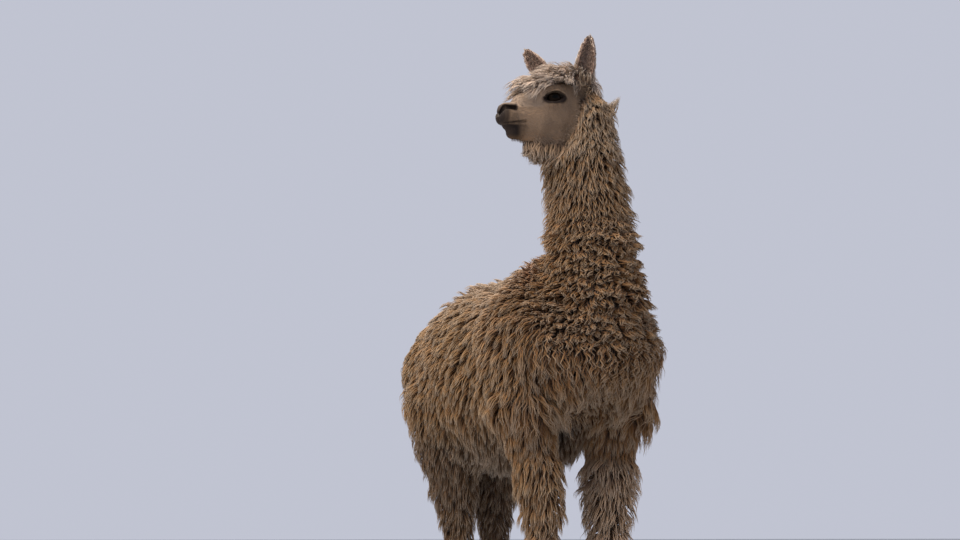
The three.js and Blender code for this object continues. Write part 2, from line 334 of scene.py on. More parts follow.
def skull_field():
    parts = [
        head_pad(12, 0, -18, 60, 46, 42),  # cranium
        head_bone((52, 0, -32, 45, 43), (150, 0, -66, 26, 27)),  # bridge of the nose
        head_bone((62, 0, -118, 36, 44), (110, 0, -126, 27, 37)),  # jaw
        head_bone((110, 0, -126, 27, 37), (166, 0, -128, 16, 20)),
        head_pad(186, 0, -91, 25, 23, 23),  # end of the nose
        head_pad(193, 0, -83, 15, 16, 14),
        head_bone((20, 0, -124, 38, 40), (70, 0, -150, 18, 14)),  # throat
    ]
    for s in SIDES:
        parts += [
            head_pad(52, 27 * s, -76, 46, 23, 42),  # cheek
            head_pad(98, 25 * s, -94, 42, 20, 32),  # side of the jaw
            head_pad(84, 36 * s, -34, 32, 18, 16),  # brow
            head_pad(80, 36 * s, -54, 40, 19, 28),  # socket of the eye
            head_bone((178, 13 * s, -96, 17, 17), (112, 22 * s, -104, 23, 29)),  # side of the mouth
            head_pad(193, 10 * s, -103, 17, 14, 15),  # upper lip
        ]
    return blend(16, *parts)


def eye_axes(side):
    """The way the eye looks, then forward and up across it."""
    out = unit(np.array([0.24, side * 0.96, 0.08]) @ HEAD_AXES)
    up = unit(np.array([0.2, 0, 1.0]) @ HEAD_AXES)
    fore = unit(np.cross(up, out)) * side
    if fore @ HEAD_AXES[0] < 0:
        fore = -fore
    up = unit(up - out * (up @ out))
    return out, fore, up


def eye_centre(side):
    return on_head(EYE[0], EYE[1] * side, EYE[2])


NOSTRIL = [(212, 6, -97, 4.5, 4), (203, 15, -80, 8, 6), (182, 26, -81, 6, 4)]
MOUTH = [(214, 2, -119, 3, 2.4), (192, 21, -119, 4, 2.4), (154, 32, -112, 4, 2.2)]


def side_bones(side, places):
    places = [(forward, out * side, up, *radii) for forward, out, up, *radii in places]
    return [head_bone(a, b) for a, b in zip(places, places[1:])]


def eye_place(side, ahead, fore, up):
    axes = eye_axes(side)
    return eye_centre(side) + ahead * axes[0] + fore * axes[1] + up * axes[2]


def from_eye(side, points):
    """How far points lie from an eye's centre: ahead of it, towards the nose and up."""
    q = points - eye_centre(side)
    return [q @ axis for axis in eye_axes(side)]


def rope(side, *stops):
    """Round bones through places by the eye, each with its radius."""
    return chain_bones([joint(eye_place(side, *stop[:3]), stop[3], stop[3]) for stop in stops])


def face_field():
    """The skull with lips, nostrils, lids and folds."""
    lower_lip = head_bone((190, 0, -124, 11, 6), (176, 0, -129, 17, 10))
    chin = head_pad(172, 0, -138, 17, 15, 14)
    face = blend(7, skull_field(), lower_lip, chin)
    ridges, holes = [], []
    for s in SIDES:
        ridges += [
            pad(eye_centre(s), (21.5, 21.5, 21.5)),
            *rope(s, (9, 27, -4, 4), (17, 12, 11, 4.5), (18, -6, 13, 5), (9, -26, 3, 4.5)),  # upper lid
            *rope(s, (8, 27, -6, 3), (15, 8, -13, 4), (14, -8, -13, 4), (6, -26, -3, 3.5)),  # lower lid
            *rope(s, (2, 28, 18, 8), (4, -2, 26, 9), (-4, -26, 20, 8)),  # ridge of the brow
            *side_bones(s, [(199, 13, -76, 5, 5), (180, 23, -72, 5, 5)]),  # wing of the nostril
        ]
        lids = overlap(
            pad(eye_place(s, 24, 0, -13.0), (23, 39, 26), eye_axes(s)),
            pad(eye_place(s, 24, 0, 13.0), (23, 39, 25), eye_axes(s)),
        )
        crease = rope(s, (18, 19, 12, 2.4), (23, 0, 21, 2.6), (13, -22, 15, 2.4))
        holes += [(1.5, lids)]
        holes += [(4.0, b) for b in crease]
        holes += [(3.0, b) for b in side_bones(s, NOSTRIL) + side_bones(s, MOUTH)]
    holes.append((3.0, head_bone((216, 0, -94, 1.5, 5), (214, 0, -112, 1.5, 5))))  # split of the lip
    face = blend(10, face, *[ridge.within(DETAIL_REACH) for ridge in ridges])
    for soft, hole in holes:
        face = carve(soft, face, hole.within(DETAIL_REACH))
    return face


# Root, tip, and the way that the ear opens
EARS = {
    1: (on_head(-6, 38, 2), on_head(-17, 54, 116), np.array([-0.35, -1, 0.1])),
    -1: (on_head(36, -43, 8), on_head(84, -92, 106), np.array([-0.62, -0.72, -0.3])),
}
EAR_STATIONS = np.linspace(-0.12, 1, 10)
EAR_WIDTH, EAR_DEPTH, EAR_WALL = 21.5, 14.0, 2.6
EAR_LEAST = 1.5  # radius of its thinnest joint


def ear_frame(side):
    """An ear's axes: up along it, out of its opening, and across."""
    root, tip, opening = EARS[side]
    along = unit(tip - root)
    opening = unit(opening - along * (along @ opening))
    return along, opening, np.cross(along, opening)


def ear_girth(share):
    """Share of its full width that the ear has: widest a third of the way up, and pointed at the tip."""
    t = np.clip(share, 0, 1)
    return (1 - t**2.9) ** 0.8 * (0.72 + 0.28 * np.minimum(t / 0.4, 1))


def ear_field(side):
    along, open_to, across = ear_frame(side)
    leaf, cup = [], []
    for share in EAR_STATIONS:
        girth = ear_girth(share)
        at = EARS[side][0] + along * share * EAR_LENGTH
        leaf.append(joint(at, EAR_WIDTH * girth + EAR_LEAST, EAR_DEPTH * girth + EAR_LEAST))
        hollow = girth * np.clip((share - 0.02) * 8, 0, 1)
        wall = EAR_WALL if hollow > 0.2 else 0
        ahead = open_to * (EAR_DEPTH * girth * 0.62)
        wide, deep = EAR_WIDTH * hollow - wall, EAR_DEPTH * hollow - wall * 0.6
        cup.append(joint(at + ahead, max(wide, EAR_LEAST), max(deep, EAR_LEAST)))
    return carve(3, chain(leaf, across, soft=6), chain(cup[1:], across, soft=6))


# ---- The whole skin ----

WITHERS = pad((0, 60, 732), (112, 170, 112))
SHOULDERS = [pad((side * 143 + 5, 30, 512), (44, 84, 88)) for side in SIDES]
trunk_field = blend(40, blend(20, chain(TRUNK, soft=16, cap=0.85), WITHERS), *SHOULDERS)
neck_field = chain(NECK)
head_field = face_field().within(HEAD_REACH)
SKULL = skull_field()
ear_fields = [ear_field(side).within(HEAD_REACH) for side in SIDES]
leg_fields = [blend(6, chain(leg), foot_field(foot)) for leg, foot in LEGS]
tail_field = chain(TAIL)

torso = blend(40, trunk_field, neck_field)
torso = blend(26, torso, *leg_fields, tail_field)
body_field = blend(10, blend(18, torso, head_field), *ear_fields)
wool_base = blend(18, torso, SKULL)  # the same with neither ears nor the face's details


def body_at(points):
    """The skin's field, cut flat at the soles. Large sets are taken in batches, to spare memory."""
    batches = np.array_split(points, max(1, len(points) // 200000))
    values = np.concatenate([body_field.at(b) for b in batches])
    return np.maximum(values, -points[:, 2])


# ---- Meshing a field ----

COARSE = 12.0
FINE_PER_COARSE = 6
KEY = 4096  # more cells than fit along any side of the animal


def key_of(cells):
    return (cells[:, 0] * KEY + cells[:, 1]) * KEY + cells[:, 2]


def cells_of(keys):
    return np.stack([keys // KEY // KEY, keys // KEY % KEY, keys % KEY], 1)


def lattice(*counts):
    return np.stack(np.meshgrid(*[np.arange(n) for n in counts], indexing="ij"), -1).reshape(-1, 3)


def grid_values(at, low, step, cells):
    """Field values at grid points, each worked out once; returns a function from points to values."""
    keys = np.unique(key_of(cells))
    values = at(low + cells_of(keys) * step)
    return lambda wanted: values[np.searchsorted(keys, key_of(wanted))]


def surface_mesh(at, low, high, fine_blocks=None, coarse=COARSE, split=FINE_PER_COARSE):
    """Vertices and quads where the field is zero, one vertex for each cell that it crosses.

    Blocks that `fine_blocks` picks are split into smaller cells, and the two sizes join with no seam:
    each edge that the surface crosses makes one facet between the cells round it, whatever their sizes.
    """
    count = np.ceil((high - low) / coarse).astype(int) + 2
    low = low - coarse
    blocks = lattice(*count)
    centres = low + (blocks + 0.5) * coarse
    close = np.abs(at(centres)) < coarse * 1.25
    blocks = blocks[close]
    fine = fine_blocks(centres[close]) if fine_blocks else np.zeros(len(blocks), bool)
    fine_keys = key_of(blocks[fine])
    edges = []  # start, axis, both in fine steps, then the values at its ends and its length
    step = coarse / split
    for size, members in ((split, blocks[~fine]), (1, blocks[fine])):
        if not len(members):
            continue
        if size == 1:
            members = (members[:, None] * split + lattice(split, split, split)).reshape(-1, 3)
            members = members[np.abs(at(low + (members + 0.5) * step)) < step * 1.3]
        else:
            members = members * split
        corners = lattice(2, 2, 2) * size
        look_up = grid_values(at, low, step, (members[:, None] + corners).reshape(-1, 3))
        for axis in range(3):
            ahead = np.eye(3, dtype=int)[axis] * size
            around = corners[corners[:, axis] == 0]
            start = cells_of(np.unique(key_of((members[:, None] + around).reshape(-1, 3))))
            a, b = look_up(start), look_up(start + ahead)
            cross = (a < 0) != (b < 0)
            start, a, b = start[cross], a[cross], b[cross]
            edges.append((start, np.full(len(start), axis), a, b, np.full(len(start), size)))
    start, axis, a, b, size = [np.concatenate(part) for part in zip(*edges)]

    # The cells round each edge, in a ring: twice the position, so that half steps are whole numbers
    ring = np.repeat(start[:, None] * 2, 4, axis=1)
    rows = np.arange(len(start))
    for corner, (i, j) in enumerate(((-1, -1), (1, -1), (1, 1), (-1, 1))):
        for turn, way in ((0, 1), (1, i), (2, j)):
            ring[rows, corner, (axis + turn) % 3] += way * size
    block = ring // (2 * split)
    inside_fine = np.isin(key_of(block.reshape(-1, 3)), fine_keys).reshape(-1, 4)
    cells = np.where(inside_fine[..., None], ring // 2, block * split)
    # A coarse edge beside a fine block is left to that block's own edges
    keep = (size != split) | ~inside_fine.any(1)
    rows = (start, axis, a, b, cells, inside_fine, size)
    start, axis, a, b, cells, inside_fine, size = [row[keep] for row in rows]
    keys = key_of(cells.reshape(-1, 3)) * 2 + inside_fine.reshape(-1)
    names, index = np.unique(keys, return_inverse=True)
    index = index.reshape(-1, 4)

    crossing = start.astype(float)
    crossing[np.arange(len(start)), axis] += size * a / (a - b)
    crossing = low + crossing * step
    total, hits = np.zeros((len(names), 3)), np.zeros(len(names))
    for corner in index.T:
        np.add.at(total, corner, crossing)
        np.add.at(hits, corner, 1)
    return total / hits[:, None], np.where((a < 0)[:, None], index, index[:, ::-1])


def settle(at, vertices, most, rounds=2):
    """Slides vertices onto the surface along the field's slope."""
    for _ in range(rounds):
        slope = slope_of(at, vertices)
        step = at(vertices) / np.maximum((slope**2).sum(1), 0.1)
        vertices = vertices - slope * np.clip(step, -most, most)[:, None]
    return vertices


# ---- Blender meshes ----


def mesh_object(name, points, loops, starts, attributes=(), uv=None):
    """A mesh object from flat arrays; points are in millimetres in the animal's frame."""
    mesh = bpy.data.meshes.new(name)
    mesh.vertices.add(len(points))
    mesh.vertices.foreach_set("co", to_frame(points).astype(np.float32).ravel())
    mesh.loops.add(len(loops))
    mesh.loops.foreach_set("vertex_index", loops.astype(np.int32))
    mesh.polygons.add(len(starts))
    mesh.polygons.foreach_set("loop_start", starts.astype(np.int32))
    for label, values in attributes:
        layer = mesh.attributes.new(label, "FLOAT", "POINT")
        layer.data.foreach_set("value", values.astype(np.float32))
    if uv is not None:
        layer = mesh.uv_layers.new(name="OFBake")
        layer.data.foreach_set("uv", uv.astype(np.float32).ravel())
    mesh.update(calc_edges=True)
    mesh.validate()
    mesh.polygons.foreach_set("use_smooth", np.ones(len(mesh.polygons), bool))
    obj = bpy.data.objects.new(name, mesh)
    bpy.context.scene.collection.objects.link(obj)
    return obj


def faces_to_loops(faces):
    """Loops and starts of quads, with a repeated corner dropped to leave a triangle."""
    doubled = faces == np.roll(faces, -1, axis=1)
    keep = doubled.sum(1) <= 1
    faces, doubled = faces[keep], doubled[keep]
    sizes = 4 - doubled.sum(1)
    loops = faces.reshape(-1)[~doubled.reshape(-1)]
    starts = np.concatenate([[0], np.cumsum(sizes)[:-1]])
    return loops, starts


def finish_piece(obj, material, slot, *nodes):
    obj.data.materials.append(material)
    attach(obj, "root")
    if nodes:
        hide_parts(*nodes)


# ---- Skin ----


def ear_distance(side, points):
    """How far points are from an ear's axis, and how far up it they lie, from 0 at its root to 1."""
    root, tip, _ = EARS[side]
    along = tip - root
    share = np.clip((points - root) @ along / (along @ along), -0.15, 1)
    return np.linalg.norm(points - root - share[:, None] * along, axis=1), share


def wants_fine(centres):
    """The face, the ears and the feet are meshed finely: no deep coat hides them."""
    forward, _, up = head_place(centres).T
    face = (forward > -5) & (up > -185) & (up < 12)
    ears = [ear_distance(side, centres)[0] < 36 for side in SIDES]
    return face | ears[0] | ears[1] | (centres[:, 2] < 66)


def make_skin():
    low, high = merged_box([body_field])
    low[2] = -COARSE
    vertices, faces = surface_mesh(body_at, low, high, wants_fine)
    return settle(body_at, vertices, 2.5), faces


# ---- Regions and markings ----


def smooth(low, high, value):
    t = np.clip((value - low) / (high - low), 0, 1)
    return t * t * (3 - 2 * t)


def bump_at(value, centre, width):
    return np.exp(-(((value - centre) / width) ** 2))


def columns(*parts):
    """A row for each point, from parts that are each a number or have one for each point."""
    return np.stack(np.broadcast_arrays(*parts), 1)


def near_bones(bones, points):
    """Distance to the closest bone, and the coat's depth, eased from one bone to the next."""
    away = np.stack([b.at(points) for b in bones])
    coat = np.stack([b.coat_at(points) for b in bones])
    share = np.exp((away.min(0) - away) / 12)
    return away.min(0), (share * coat).sum(0) / share.sum(0)


REGIONS = ("trunk", "neck", "tail", "leg", "foot", "head", "ear")
REGION_BONES = [chain_bones(TRUNK), chain_bones(NECK), chain_bones(TAIL)]
LEG_BONES = [chain_bones(leg) for leg, _ in LEGS]
FEET = [foot_field(foot) for _, foot in LEGS]
REGION_EASE = np.array([14, 14, 14, 12, 7, 9, 3.0])  # over what distance each gives way to the next
FOOT_COAT, EAR_COAT = 4.0, 4.0


def face_line(up):
    """How far forward the short hair of the face begins, at a height on the head."""
    return -6 + 0.34 * (-27 - up)


def ear_base_at(points):
    """1 round the bases of the ears, where the wool is short and brown, and where painted shade darkens
    it.
    """
    forward, out, up = head_place(points).T
    away = np.hypot(np.hypot(forward - 2, np.abs(out) - 50), up - np.clip(up, -24, 26))
    return smooth(34, 14, away)


def wool_on_head(points):
    """Depth of the wool on the head, which is 0 over the face, and whether it is the topknot's."""
    forward, out, up = head_place(points).T
    brow = np.where(forward < 66, -14, -14 - 0.42 * (forward - 66)) + 0.10 * np.abs(out)
    cap = (up > brow) & (forward < 128)
    behind = forward < face_line(up)
    beard = (up < -154) & (forward < 142)
    cap_depth = 50 - 0.30 * np.abs(out) - 0.16 * np.maximum(forward - 60, 0)
    cap_depth *= 1 - 0.5 * smooth(0, -45, forward)
    cap_depth *= 1 - 0.4 * ear_base_at(points)
    ruff_depth = np.clip(7 + 0.6 * (face_line(up) - forward), 7, 36 - 22 * smooth(-95, -45, up))
    beard_depth = np.clip(38 - 0.16 * (forward - 60), 20, 38)
    depth = np.where(cap, cap_depth, np.where(beard, beard_depth, np.where(behind, ruff_depth, 0)))
    return depth, cap


def survey(points):
    """Each point's share of every region, and the depth of its coat."""
    away, coat = [list(row) for row in zip(*[near_bones(bones, points) for bones in REGION_BONES])]
    away[0] = trunk_field.at(points)
    legs = np.array([near_bones(bones, points) for bones in LEG_BONES])
    leg_away, leg_coat = legs[legs[:, 0].argmin(0), :, np.arange(len(points))].T
    feet, ears = [np.min([f.at(points) for f in fields], axis=0) for fields in (FEET, ear_fields)]
    wool, _ = wool_on_head(points)
    away = np.stack([*away, leg_away, feet, SKULL.at(points), ears * 1.6], 1)
    coat = columns(*coat, leg_coat, FOOT_COAT, wool, EAR_COAT)
    share = np.exp((away.min(1, keepdims=True) - away) / REGION_EASE)
    share /= share.sum(1, keepdims=True)
    face = (wool == 0) & (share[:, 5] + share[:, 6] > 0.35)
    share[face, 1], share[face, 5] = 0, share[face, 5] + share[face, 1]
    return share, (share * coat).sum(1)


def line_distance(q, stops):
    """Distance of places from straight runs between stops."""
    ends = [np.array(stop[:3], float) for stop in stops]
    away = []
    for a, b in zip(ends, ends[1:]):
        t = np.clip((q - a) @ (b - a) / ((b - a) @ (b - a)), 0, 1)[:, None]
        away.append(np.linalg.norm(q - a - (b - a) * t, axis=1))
    return np.min(away, axis=0)


def dark_at(points):
    """Bare dark skin: rims and corners of the eyes, nostrils, lips and chin; at the eyes' inner corners
    and under the lower lip the dark is also painted shade.
    """
    forward, out, up = head_place(points).T
    dark = np.zeros(len(points))
    for s in SIDES:
        a, b, c = from_eye(s, points)
        rim = np.hypot(b / 34, (c - 0.05 * b + 3.5) / 15.5)
        rim = (a > 0) * (1 - smooth(0.84, 1.10, rim))
        # Inner corner of the eye: dark skin, and painted shade in the corner
        tear = bump_at(b, 28, 7) * bump_at(c, -6 - 0.3 * (b - 27), 4.5) * (a > -14)
        dark = np.max([dark, rim, 0.9 * tear], axis=0)
    q = np.stack([forward, np.abs(out), up], 1)
    nostril = 1 - smooth(6.5, 11, line_distance(q, NOSTRIL))
    mouth = (1 - smooth(3.0, 7.5, line_distance(q, MOUTH))) * smooth(144, 172, forward)
    lip = 0.36 * smooth(160, 190, forward) * smooth(-88, -98, up)
    front = smooth(198, 207, forward) * smooth(-74, -86, up)
    rim_of_nose = 0.92 * smooth(186, 201, forward) * smooth(-64, -74, up)
    # Chin: dark skin, and painted shade under the lower lip
    chin = smooth(138, 172, forward) * smooth(-116, -121, up) * smooth(-166, -140, up)
    bare = np.max([nostril, mouth, lip, front, rim_of_nose, chin], axis=0)
    return np.clip(np.maximum(dark, bare * smooth(60, 110, forward)), 0, 1)


def markings(points):
    """Colours that skin and coat share, each 0 to 1: warm brown, pale, the face's, dark (bare skin and
    painted shade) and red; some warm and pale ones are painted light and shade too.
    """
    forward, out, up = head_place(points).T
    x, y, z = points.T
    on_head = smooth(1096, 1110, z) * smooth(-75, -45, forward)
    wool, cap = wool_on_head(points)
    face = on_head * smooth(-10, 10, forward - face_line(up)) * smooth(14, 8, wool)
    # Paler over the bridge of the nose: painted light on the top of the muzzle
    bridge = on_head * smooth(85, 130, forward) * smooth(-84, -68, up)
    face *= 1 - 0.22 * bridge
    neck = smooth(620, 740, z) * (1 - smooth(900, 1060, z)) * (y < 90)
    # Chest front and lower body: browner, and the chest darker and less pale, partly their own tone and
    # partly painted shade
    chest = smooth(30, -60, y) * (1 - smooth(700, 900, z)) * smooth(330, 430, z)
    low = 1 - smooth(380, 560, z)
    patchy = np.sin(x / 41 + 1.3 * np.sin(z / 67)) * np.sin(y / 53 + 1.1 * np.sin(z / 83 + 1))
    warm = 0.30 + 0.55 * chest + 0.40 * neck + 0.50 * low + 0.16 * patchy
    # The face warmer and darker down the jaw: partly its own tone, partly painted shade under the head
    warm += on_head * (0.9 * smooth(-112, -160, up) * (wool == 0) - 0.4)
    cap = np.maximum(on_head * (cap | ((up > 10) & (wool == 0))), bridge)
    # Round the ears' bases: browner, less pale and darker, partly short brown wool and partly painted
    # shade
    ear_base = ear_base_at(points)
    upper = smooth(1080, 1180, z)
    warm += 0.3 * ear_base - 0.25 * upper
    back = smooth(690, 800, z) * smooth(20, 120, y)
    beard = on_head * (wool > 0) * smooth(-20, 40, forward) * smooth(-120, -150, up)
    # Left foreleg paler and warmer: partly its own paler wool, partly painted light; the right one less
    # warm
    front_leg = smooth(430, 350, z) * smooth(160, 110, y)
    warm += front_leg * np.where(x > 0, 0.25, -0.45)
    pale = 1.0 * cap + 0.40 * back - 0.35 * chest + 0.14 * patchy + 0.45 * beard
    pale += front_leg * (0.08 + 0.47 * (x > 0)) + 0.2 * upper - 0.7 * ear_base
    pale = np.clip(pale, 0, 1)
    dye = bump_at(np.hypot(y - 40, (x + 40) * 0.8), 0, 44) * (z > 760)
    dye = np.maximum(dye, 0.9 * bump_at(np.hypot(y - 30, z - 610), 0, 34) * (x > 120))
    # Painted shade between the forelegs under the chest
    painted_shade_under_chest = 0.95 * bump_at(x, -8, 62) * smooth(-95, -50, y) * smooth(505, 455, z) * smooth(180, 260, z)
    # Painted shade low on the body behind the forelegs, darker towards the bottom
    painted_low_shade = 0.54 * smooth(520, 420, z) * smooth(60, 110, y)
    # Dark: bare dark skin, and painted shade under the chest, low on the body, on the chest front and
    # round the ears' bases
    dark = np.max([dark_at(points), painted_shade_under_chest, painted_low_shade, 0.16 * chest, 0.45 * ear_base], axis=0)
    return dict(
        Warm=np.clip(warm, 0, 1), Pale=pale, Face=face, Dark=dark, Red=np.clip(dye, 0, 1)
    )


def ear_inside(points, normals):
    """1 where the skin is the hollow of an ear."""
    inside = np.zeros(len(points), bool)
    for s in SIDES:
        away, share = ear_distance(s, points)
        inside |= (away < 24) & (share > 0.02) & (normals @ ear_frame(s)[1] > 0.35)
    return inside


# ---- Roots of the locks ----


def spacing_at(points):
    """How far apart the locks' roots are: close on the face, wide on the belly."""
    forward, _, up = head_place(points).T
    x, y, z = points.T
    ears = np.min([ear_distance(s, points)[0] for s in SIDES], axis=0) < 26
    gap = np.full(len(points), 7.0)
    for where, spacing in (
        ((z > 640) & (y < 20), 5.3),
        ((z < 640) & (z > 400) & (y < -40), 6.4),
        (z < 430, 6.4),
        ((z > 710) & (y > 20), 6.3),
        (z < 60, 5.6),
        ((z > 1100) & (forward > -60), 4.6),
        ((up > -20) & (forward > -60), 4.1),
        ((z > 1100) & (forward > face_line(up)) & (up < 20), 3.7),
        (ears & (up > 20), 4.0),
    ):
        gap[where] = spacing
    return gap


OVERSAMPLE = 3.0
NORMAL_STEP = 1.5
PROBE, OPEN_AIR = 4.0, 2.2  # this far over a root, no skin is closer than that
LOWEST_ROOT = 6.0
BARE = 0.62  # skin darker than this has no hair
LIDS = 29, 17  # half the width and the height of the bare gap between the lids


def skin_normals(points):
    return unit(slope_of(body_at, points, NORMAL_STEP))


def scatter(vertices, faces):
    """Random roots over the skin, about one to each cube of the local spacing that it crosses."""
    triangles = np.concatenate([faces[:, [0, 1, 2]], faces[:, [0, 2, 3]]])
    a, b, c = [vertices[triangles[:, k]] for k in range(3)]
    area = np.linalg.norm(np.cross(b - a, c - a), axis=1) / 2
    gap = spacing_at((a + b + c) / 3)
    wanted = area * OVERSAMPLE / gap**2
    count = np.floor(wanted + RNG.random(len(wanted))).astype(int)
    owner = np.repeat(np.arange(len(count)), count)
    u, v = RNG.random((2, len(owner), 1))
    over = u + v > 1
    u, v = np.where(over, 1 - u, u), np.where(over, 1 - v, v)
    points = a[owner] * (1 - u - v) + b[owner] * u + c[owner] * v
    order = RNG.permutation(len(points))
    points, gap = points[order], gap[owner][order]
    cell = np.floor((points - vertices.min(0)) / gap[:, None]).astype(int) + 1
    keys = key_of(cell) * 64 + np.round(gap * 4).astype(int)
    _, first = np.unique(keys, return_index=True)
    return points[np.sort(first)]


def place_roots(vertices, faces):
    points = scatter(vertices, faces)
    normals = skin_normals(points)
    keep = (body_at(points + PROBE * normals) > OPEN_AIR) & (points[:, 2] > LOWEST_ROOT)
    keep &= dark_at(points) < BARE
    for s in SIDES:
        ahead, fore, up = from_eye(s, points)
        keep &= ~((ahead > 0) & (np.hypot(fore / LIDS[0], up / LIDS[1]) < 1))
    return points[keep], normals[keep]


# ---- Styles of the coat ----

# How far a lock travels along the skin, its width, the swing and length of its waves,
# how strongly it joins its clump, and the clump's size
STYLES = {
    "flank": (48, 5.8, 3.4, 25, 0.84, 20),
    "chest": (90, 5.2, 9.0, 56, 0.80, 24),
    "lower neck": (24, 6.8, 6.0, 17, 0.70, 16),
    "upper neck": (38, 4.6, 2.8, 23, 0.60, 10),
    "tail": (60, 6.6, 3.0, 30, 0.70, 18),
    "leg": (48, 4.4, 2.6, 34, 0.62, 17),
    "foot": (13, 3.0, 0.2, 20, 0.20, 9),
    "topknot": (46, 3.8, 2.4, 34, 0.50, 12),
    "ruff": (38, 4.4, 2.6, 24, 0.60, 10),
    "face": (7, 1.5, 0.0, 20, 0.0, 9),
    "ear": (14, 2.6, 0.6, 12, 0.40, 8),
    "ear inside": (9, 2.4, 1.6, 8, 0.30, 7),
}
TRAVEL, WIDTH, SWING, WAVE, PULL, CLUMP = range(6)


def near_wool(points):
    """1 where the short hair of the face meets the wool behind and below it, 0 away from there."""
    forward, _, up = head_place(points).T
    return np.maximum(smooth(24, 0, forward - face_line(up)), smooth(-134, -156, up) * (forward < 130))


def choose(where, a, b):
    """Rows of `a` where it is true, and of `b` elsewhere."""
    return np.where(where[:, None], a, b)


def mixed(a, b, t):
    return a * (1 - t[:, None]) + b * t[:, None]


def style_of(points, normals, share, inside):
    """Each root's style, mixed from those of the regions that it lies in."""
    x, y, z = points.T
    table = {name: np.array(row) for name, row in STYLES.items()}
    chest = smooth(40, -50, y) * smooth(0.0, 0.5, -normals[:, 1])
    knobs = smooth(590, 650, z) * smooth(165, 130, np.hypot(x, 0.75 * (y + 95)))
    wool, cap = wool_on_head(points)
    face = table["face"] + (table["ruff"] - table["face"]) * 0.55 * near_wool(points)[:, None]
    rows = [
        mixed(mixed(table["flank"], table["chest"], chest), table["lower neck"], knobs),
        mixed(table["lower neck"], table["upper neck"], smooth(880, 1010, z)),
        table["tail"],
        table["leg"],
        table["foot"],
        choose(wool == 0, face, choose(cap, table["topknot"], table["ruff"])),
        choose(inside, table["ear inside"], table["ear"]),
    ]
    return sum(share[:, k, None] * row for k, row in enumerate(rows))


BEARD_LIE = 0.85, 0.0, -1.0  # forward, left and up


def lie_of(points, share):
    """The way the coat lies at each root."""
    forward, out, up = head_place(points).T
    x, y, z = points.T
    back = 0.05 + 0.28 * smooth(-20, 200, y) * smooth(330, 640, z) * (1 - 0.8 * smooth(520, 620, y))
    middle = -1.1 * np.tanh((x + 40) / 60) * smooth(200, 130, np.abs(x)) * smooth(20, -60, y)
    middle *= smooth(680, 540, z)
    trunk = columns((0.2 + 0.5 * smooth(640, 760, z)) * np.tanh(x / 60) + middle, back, -1.0)
    swirl = 0.25 * np.sin(z / 95 + x / 60)
    neck = columns(swirl * smooth(1000, 1150, z) + 0.1, 0.1, -1.0)
    tail, leg, foot = (0, 0.2, -1), (0, 0.12, -1), (0, -0.45, -1)
    wool, cap = wool_on_head(points)
    spread = np.tanh(out / 45)
    crown = smooth(-45, 5, forward)
    drop = 1 - 0.4 * smooth(40, 80, forward)
    topknot = columns(-0.5 + 1.3 * crown, 0.7 * spread * drop, (-0.5 - 0.8 * np.abs(spread)) * drop)
    ruff = columns(0.40 - 0.5 * smooth(0, 70, face_line(up) - forward), 0.0, -1.0)
    muzzle = smooth(110, 170, forward)
    face = columns(-0.9 - 0.1 * muzzle, 0.15 * spread, -0.5 + 0.4 * muzzle)
    ruff = choose((up < -120) & (forward > 30), BEARD_LIE, ruff)
    on_head = choose(wool == 0, face, choose(cap, topknot, ruff)) @ HEAD_AXES
    ears = np.zeros((len(points), 3))
    for s in SIDES:
        ears[ear_distance(s, points)[0] < 30] = ear_frame(s)[0]
    rows = [unit(row) for row in (trunk, neck, tail, leg, foot, on_head, ears)]
    return unit(sum(share[:, k, None] * row for k, row in enumerate(rows)))


ROLL_LENGTH, CRIMP_LENGTH = 74.0, 31.0


def wool_shape(points, kind):
    """Share of the coat's depth that is there: rolls and ruffles of the neck, fringes and tufts."""
    x, y, z = points.T
    turn = np.arctan2(x, -y - 60)
    neck = smooth(600, 670, z) * (1 - smooth(930, 1010, z)) * (y < 40)
    roll = np.sin(2 * math.pi * (z + 14 * np.sin(1.7 * turn + 0.6)) / ROLL_LENGTH)
    warp = 11 * np.sin(3.1 * turn + z / 60) + 7 * np.sin(7.3 * turn - z / 37 + 1)
    crimp = np.sin(2 * math.pi * (z + warp) / CRIMP_LENGTH)
    shape = 1 + neck * (0.10 * roll + 0.24 * crimp)
    shape *= 1 + (kind == "neck") * (0.10 + 0.18 * smooth(900, 1000, z))
    fringe = (kind == "trunk") * smooth(70, 20, y) * bump_at(z, 480, 60) * smooth(30, 90, np.abs(x))
    shape *= 1 + 0.55 * fringe
    shape *= 1 + 0.40 * bump_at(y, 330, 80) * smooth(740, 780, z)  # hump over the loin
    shape *= 1 - 0.45 * smooth(400, 480, y) * smooth(640, 720, z)  # thinner over the rump
    # The legs' wool swells in bells, and is deepest on the left foreleg
    bells = bump_at(z, 318, 26) + bump_at(z, 240, 24) + bump_at(z, 165, 20)
    left_front = 0.55 * (x > 0) * (y < 200) * smooth(420, 350, z)
    leg = (kind == "leg") * (1.02 + 0.20 * bells + left_front - 0.32 * smooth(330, 400, z) * (y < 200))
    return np.where(kind == "leg", leg, shape)


# ---- Growing the locks ----

SINK = 2.5
LOCK_STEP = 2.5
LOWEST = 1.0  # no lock comes closer to the floor
EASE_ALONG, EASE_PULL = 1.35, 1.25
HANG_SHARE = 1.15  # of their travel, for locks that hang free under the body


